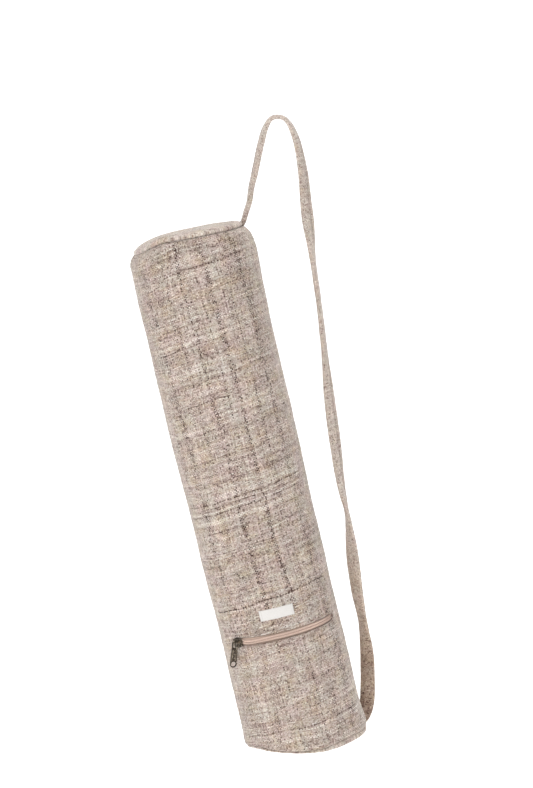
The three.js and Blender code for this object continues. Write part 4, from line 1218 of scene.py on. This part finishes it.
def slider_piece():
    plate_base = -WALL + COIL_THICK + 2 * GAP
    parts = []
    top = outline_piece([plate_outline()], SLIDER_PLATE, 0.35, "top")
    parts.append((top, SLIDER @ Matrix.Translation((0, 0, (plate_base + SLIDER_PLATE / 2) * MM))))
    # raised panel on the plate
    cap = outline_piece([[(x * 1.10, y * 1.46) for x, y in plate_outline()]], 0.9, 0.35, "cap")
    parts.append((cap, SLIDER @ Matrix.Translation((-1.2 * MM, -2.3 * MM, (plate_base + SLIDER_PLATE + 0.05) * MM))))
    panel = outline_piece([plate_outline(-1.2)], 0.9, 0.3, "panel")
    parts.append((panel, SLIDER @ Matrix.Translation((0, -0.4 * MM, (plate_base + SLIDER_PLATE + 0.6) * MM))))
    low = outline_piece([plate_outline()], 1.3, 0.3, "low")
    parts.append((low, SLIDER @ Matrix.Translation((0, 0, (TAPE_FAR - TAPE_THICK - GAP - 0.9 - 0.65) * MM))))
    post = outline_piece([arc(0, 0, 1.1, 0, 345, 23)], 8.0, 0.1, "post")
    parts.append((post, SLIDER @ Matrix.Translation((-4.2 * MM, 0, (plate_base + 0.6 - 4) * MM))))
    h, roof, floor = BRIDGE_SPAN / 2, BRIDGE_RISE + BRIDGE_BAR / 2, plate_base + SLIDER_PLATE - 0.3
    arch = [(-h, floor)] + arc(-h + 2.3, roof - 2.3, 2.3, 180, 90, 8) + arc(h - 2.3, roof - 2.3, 2.3, 90, 0, 8)
    arch += [(h, floor), (h - 1.7, floor)] + arc(h - 3.0, roof - 3.2, 1.35, 0, 90, 6)
    arch += arc(-h + 3.0, roof - 3.2, 1.35, 90, 180, 6) + [(-h + 1.7, floor)]
    bridge = outline_piece([arch], BRIDGE_BAR * 1.0, 0.3, "bridge")
    stand = Matrix(((1, 0, 0, 0), (0, 0, -1, 0), (0, 1, 0, 0), (0, 0, 0, 1)))
    parts.append((bridge, SLIDER @ stand))
    # feet of the bridge
    for x in (-h + 0.85, h - 0.85):
        foot = outline_piece([arc(0, 0, 1.5, 0, 345, 23)], 0.9, 0.3, "foot")
        parts.append((foot, SLIDER @ Matrix.Translation((x * MM, 0, (plate_base + SLIDER_PLATE + 0.35) * MM))))
    obj = joined("slider_metal", parts, BRONZE)
    return obj


slider = slider_piece()
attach(slider, "bag")
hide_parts("zip_slider")

PIVOT = SLIDER @ Vector((0, 0, BRIDGE_RISE * MM))


def puller_piece():
    top, end, low = PULLER_TOP_W / 2, PULLER_END_W / 2, -PULLER_LONG
    rise = PULLER_EYE_R + 1.5
    outside = [(-top, -1)]
    def bezier(p0, p1, p2, p3, n=8):
        for i in range(1, n + 1):
            t = i / n
            yield tuple((1 - t) ** 3 * p0[q] + 3 * (1 - t) ** 2 * t * p1[q] + 3 * (1 - t) * t * t * p2[q] + t**3 * p3[q] for q in (0, 1))
    outside += list(bezier((-top, -1), (-top, rise - 0.9), (-top + 1.6, rise), (0, rise)))
    outside += list(bezier((0, rise), (top - 1.6, rise), (top, rise - 0.9), (top, -1)))
    outside += [(top, -9)] + arc(0, low, end, 0, -180, 28) + [(-top, -9)]
    eye = arc(0, 0, PULLER_EYE_R, 0, 180, 16) + arc(0, -PULLER_EYE_LONG, PULLER_EYE_R, 180, 360, 16)
    hole = arc(0, low, PULLER_HOLE_R, 0, 350, 35)
    plate = outline_piece([outside, eye, hole], PULLER_THICK, 0.32, "plate", 3)
    # raised rim round the hole and two long raised bars
    rim = outline_piece([arc(0, low, PULLER_HOLE_R + 1.05, 0, 350, 35), arc(0, low, PULLER_HOLE_R + 0.05, 0, 350, 35)],
                        PULLER_THICK + 0.3, 0.22, "rim", 2)
    bars = []
    for x in (-2.55, 2.55):
        bars.append(outline_piece([[(x - 0.45, -10.2), (x + 0.45, -10.2), (x + 0.5, -21.8), (x - 0.5, -21.8)]],
                                  PULLER_THICK + 0.26, 0.2, "bar", 2))
    a = math.radians(PULLER_TURN)
    p, up = Vector((-math.cos(a), -math.sin(a), 0)), Vector((0, 0, 1))
    across = p.cross(up)
    where = Matrix.Translation(PIVOT) @ Matrix((p, up, across)).transposed().to_4x4()
    return joined("pull_tab_metal", [(plate, where), (rim, where)] + [(m, where) for m in bars], BRONZE)


puller = puller_piece()
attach(puller, "pull_tab")
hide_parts("zip_puller")


# ------------------------------------------------------------------ label
def label_material():
    k = Shader("label_tape")
    u, v = k.plane()
    ribs = k.math("SINE", k.mul(u, 2 * math.pi / 0.42))
    weft = k.math("SINE", k.mul(v, 2 * math.pi / 0.42))
    mottle = k.noise(k.pair(k.mul(u, 1 / 2.0), k.mul(v, 1 / 1.2)), 1.0, 3.0)
    colour = k.mix(mottle, srgb(208, 204, 200), srgb(222, 219, 216))
    # painted shade from the 'shade' attribute
    colour = k.mix(k.mul(k.attribute("shade"), 0.7), colour, srgb(150, 138, 128), "MULTIPLY")
    k.set(Base_Color=colour, Roughness=0.85, Sheen_Weight=0.2, Sheen_Roughness=0.4)
    k.set(Normal=k.bump(k.add(k.mul(ribs, weft, 0.6), mottle), 0.00012, 0.7))
    return k.material


LABEL = label_material()


def label_piece():
    b = Build()
    cols, rows = 60, 22
    az = np.linspace(LABEL_AZ[0], LABEL_AZ[1], cols + 1)
    s = np.linspace(LABEL_LOW, LABEL_HIGH, rows + 1)
    A, Sg = np.meshgrid(az, s)
    fu = (A - LABEL_AZ[0]) / (LABEL_AZ[1] - LABEL_AZ[0])
    fv = (Sg - LABEL_LOW) / (LABEL_HIGH - LABEL_LOW)
    mm = fu * 45.0
    fold = np.exp(-((np.minimum(mm, 45 - mm) - 1.6) / 1.0) ** 2)     # ends turned under are thicker
    sag = 0.35 * np.sin(np.pi * fu) ** 0.5
    at = np.stack([mm, fv * 14.2, 0 * mm], -1)
    rise = 0.75 + 0.35 * fold + 0.22 * soft(at, 9.0, 60) + 0.1 * soft(at, 3.0, 61)
    edge = np.minimum(np.minimum(mm, 45 - mm), np.minimum(fv, 1 - fv) * 14.2)
    rise = rise - 0.5 * np.exp(-((edge / 0.35) ** 2))
    # edges aren't quite straight
    Sg2 = Sg + 0.16 * soft(np.stack([mm, 0 * mm + 40 * (fv > 0.5), 0 * mm], -1), 7.0, 62) * np.abs(2 * fv - 1)
    A2 = A + 0.12 * soft(np.stack([fv * 14.2, 0 * mm + 90 * (fu > 0.5), 0 * mm], -1), 5.0, 63) * np.abs(2 * fu - 1)
    wall = wall_radius(A2, Sg2)
    front, back = place(A2, Sg2, wall + rise), place(A2, Sg2, wall + 0.1)
    uv = np.stack([mm * MM, fv * 14.2 * MM], -1)
    # painted shade along the label's edges and the folds of its turned-under ends; the dark line at the right end is
    # partly painted shadow, partly a dark yarn of the cloth beside the label
    shade = 0.3 * np.exp(-((edge / 0.5) ** 2)) + 0.22 * np.exp(-(((np.minimum(mm, 45 - mm) - 3.1) / 0.4) ** 2))
    shade = np.maximum(shade, 1.2 * np.exp(-(((45 - mm) / 0.45) ** 2)))
    f = b.grid(front, uv, extra=shade)
    g = b.grid(back, uv, flip=True, extra=shade)
    n, m = cols + 1, rows + 1
    rim = [i for i in range(n)] + [q * n + n - 1 for q in range(1, m)]
    rim += [(m - 1) * n + i for i in range(n - 2, -1, -1)] + [q * n for q in range(m - 2, 0, -1)]
    flat = uv.reshape(-1, 2)
    for i in range(len(rim)):
        p, q = rim[i], rim[(i + 1) % len(rim)]
        b.face([f + q, f + p, g + p, g + q], [flat[q], flat[p], flat[p], flat[q]])
    obj = b.object("label_blank", LABEL)
    straighten(obj)
    return obj


label = label_piece()
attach(label, "bag")
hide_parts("label")


# ------------------------------------------------------------------ stitches round the pocket's slot
def thread_material():
    k = Shader("sewing_thread")
    where = k.node("ShaderNodeTexCoord").outputs["Object"]
    ply = k.noise(where, 2600.0, 1.0, 0.5, "3D")
    colour = k.mix(ply, srgb(160, 139, 124), srgb(200, 181, 166))
    k.set(Base_Color=colour, Roughness=0.7, Sheen_Weight=0.2, Sheen_Roughness=0.4)
    k.set(Normal=k.bump(ply, 0.0001, 0.6))
    return k.material


def stitches_piece():
    b = Build()
    length, pitch, fat, around = 2.5, 3.1, 0.24, 7
    per_degree = 79 * math.radians(1)

    def stitch(az, s, along_az):
        rings = []
        for f in np.linspace(0, 1, 7):
            off = (f - 0.5) * length
            a, h = (az + off / per_degree, s) if along_az else (az, s + off)
            rise = 0.30 * math.sin(math.pi * f) - 0.16
            ground = float(wall_radius(a, h) + body_lift(np.array([[a]]), np.array([[h]]))[0, 0])
            size = fat * (0.55 + 0.45 * math.sin(math.pi * f))
            for q in range(around):
                w = 2 * math.pi * q / around
                side, up = size * math.cos(w), size * math.sin(w)
                rings.append(place(a + (0 if along_az else side / per_degree), h + (side if along_az else 0), ground + rise + up))
        pts = np.array(rings).reshape(7, around, 3)
        uv = np.zeros((7, around + 1, 2))
        b.grid(pts, uv, wrap=True)

    for s in (SLOT_LOW - 3.7, SLOT_HIGH + 3.7):
        for az in np.arange(SLOT_LEFT + 9, SLOT_RIGHT + 2.5, pitch / per_degree):
            stitch(az, s + 0.10 * math.sin(az * 2.3), True)
    for s in np.arange(SLOT_LOW - 1.6, SLOT_HIGH + 2, pitch):
        stitch(SLOT_RIGHT + 3.7 / per_degree, s, False)
    obj = b.object("pocket_stitches", thread_material())
    straighten(obj)
    return obj


stitches = stitches_piece()
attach(stitches, "bag")


# ------------------------------------------------------------------ floor, backdrop, light
def sweep():
    """Pale floor that curves up into a backdrop far behind."""
    z0, far, r, wide = -1.16, 5.5, 1.6, 9.0
    rows = [(-6.0, z0), (0.0, z0), (far - r, z0)]
    for i in range(1, 13):
        a = math.pi / 2 * i / 12
        rows.append((far - r + r * math.sin(a), z0 + r - r * math.cos(a)))
    rows.append((far, 6.0))
    pts, faces = [], []
    for y, z in rows:
        pts += [(-wide, y, z), (wide, y, z)]
    for i in range(len(rows) - 1):
        faces.append([2 * i, 2 * i + 1, 2 * i + 3, 2 * i + 2])
    k = Shader("studio_floor")
    grain = k.noise(k.node("ShaderNodeTexCoord").outputs["Object"], 3.0, 2.0, 0.5, "3D")
    k.set(Base_Color=k.mix(grain, srgb(240, 240, 240), srgb(245, 245, 245)), Roughness=0.9,
          Specular_IOR_Level=0.0, Emission_Color=(1, 1, 1), Emission_Strength=0.45)
    return make("studio_floor", pts, faces, None, True, k.material)


floor = sweep()


def area(name, at, aim, size, power, colour=(1, 1, 1)):
    d = bpy.data.lights.new(name, "AREA")
    d.shape, d.size, d.size_y = "RECTANGLE", size[0], size[1]
    d.energy, d.color = power, colour
    o = bpy.data.objects.new(name, d)
    o.location = at
    o.rotation_mode = "QUATERNION"
    o.rotation_quaternion = (Vector(aim) - Vector(at)).to_track_quat("-Z", "Y")
    bpy.context.scene.collection.objects.link(o)
    return o


area("key", (-1.35, -2.75, 1.5), (0.03, 0, -0.42), (1.8, 1.8), 58, (1.0, 0.99, 0.985))
area("fill", (2.4, -2.4, 0.4), (0.03, 0, -0.42), (2.2, 2.2), 8, (0.97, 0.985, 1.0))
area("rim", (2.0, 1.9, 0.1), (0.05, 0, -0.42), (1.4, 2.2), 30, (0.95, 0.99, 1.0))
area("top", (0.0, 0.6, 2.6), (0.0, 0, -0.3), (2.4, 2.4), 40)

world = bpy.data.worlds.new("studio")
world.use_nodes = True
world.node_tree.nodes["Background"].inputs[0].default_value = (1, 1, 1, 1)
world.node_tree.nodes["Background"].inputs[1].default_value = 0.62
bpy.context.scene.world = world
bpy.context.scene.view_settings.view_transform = "Standard"
bpy.context.scene.view_settings.look = "None"
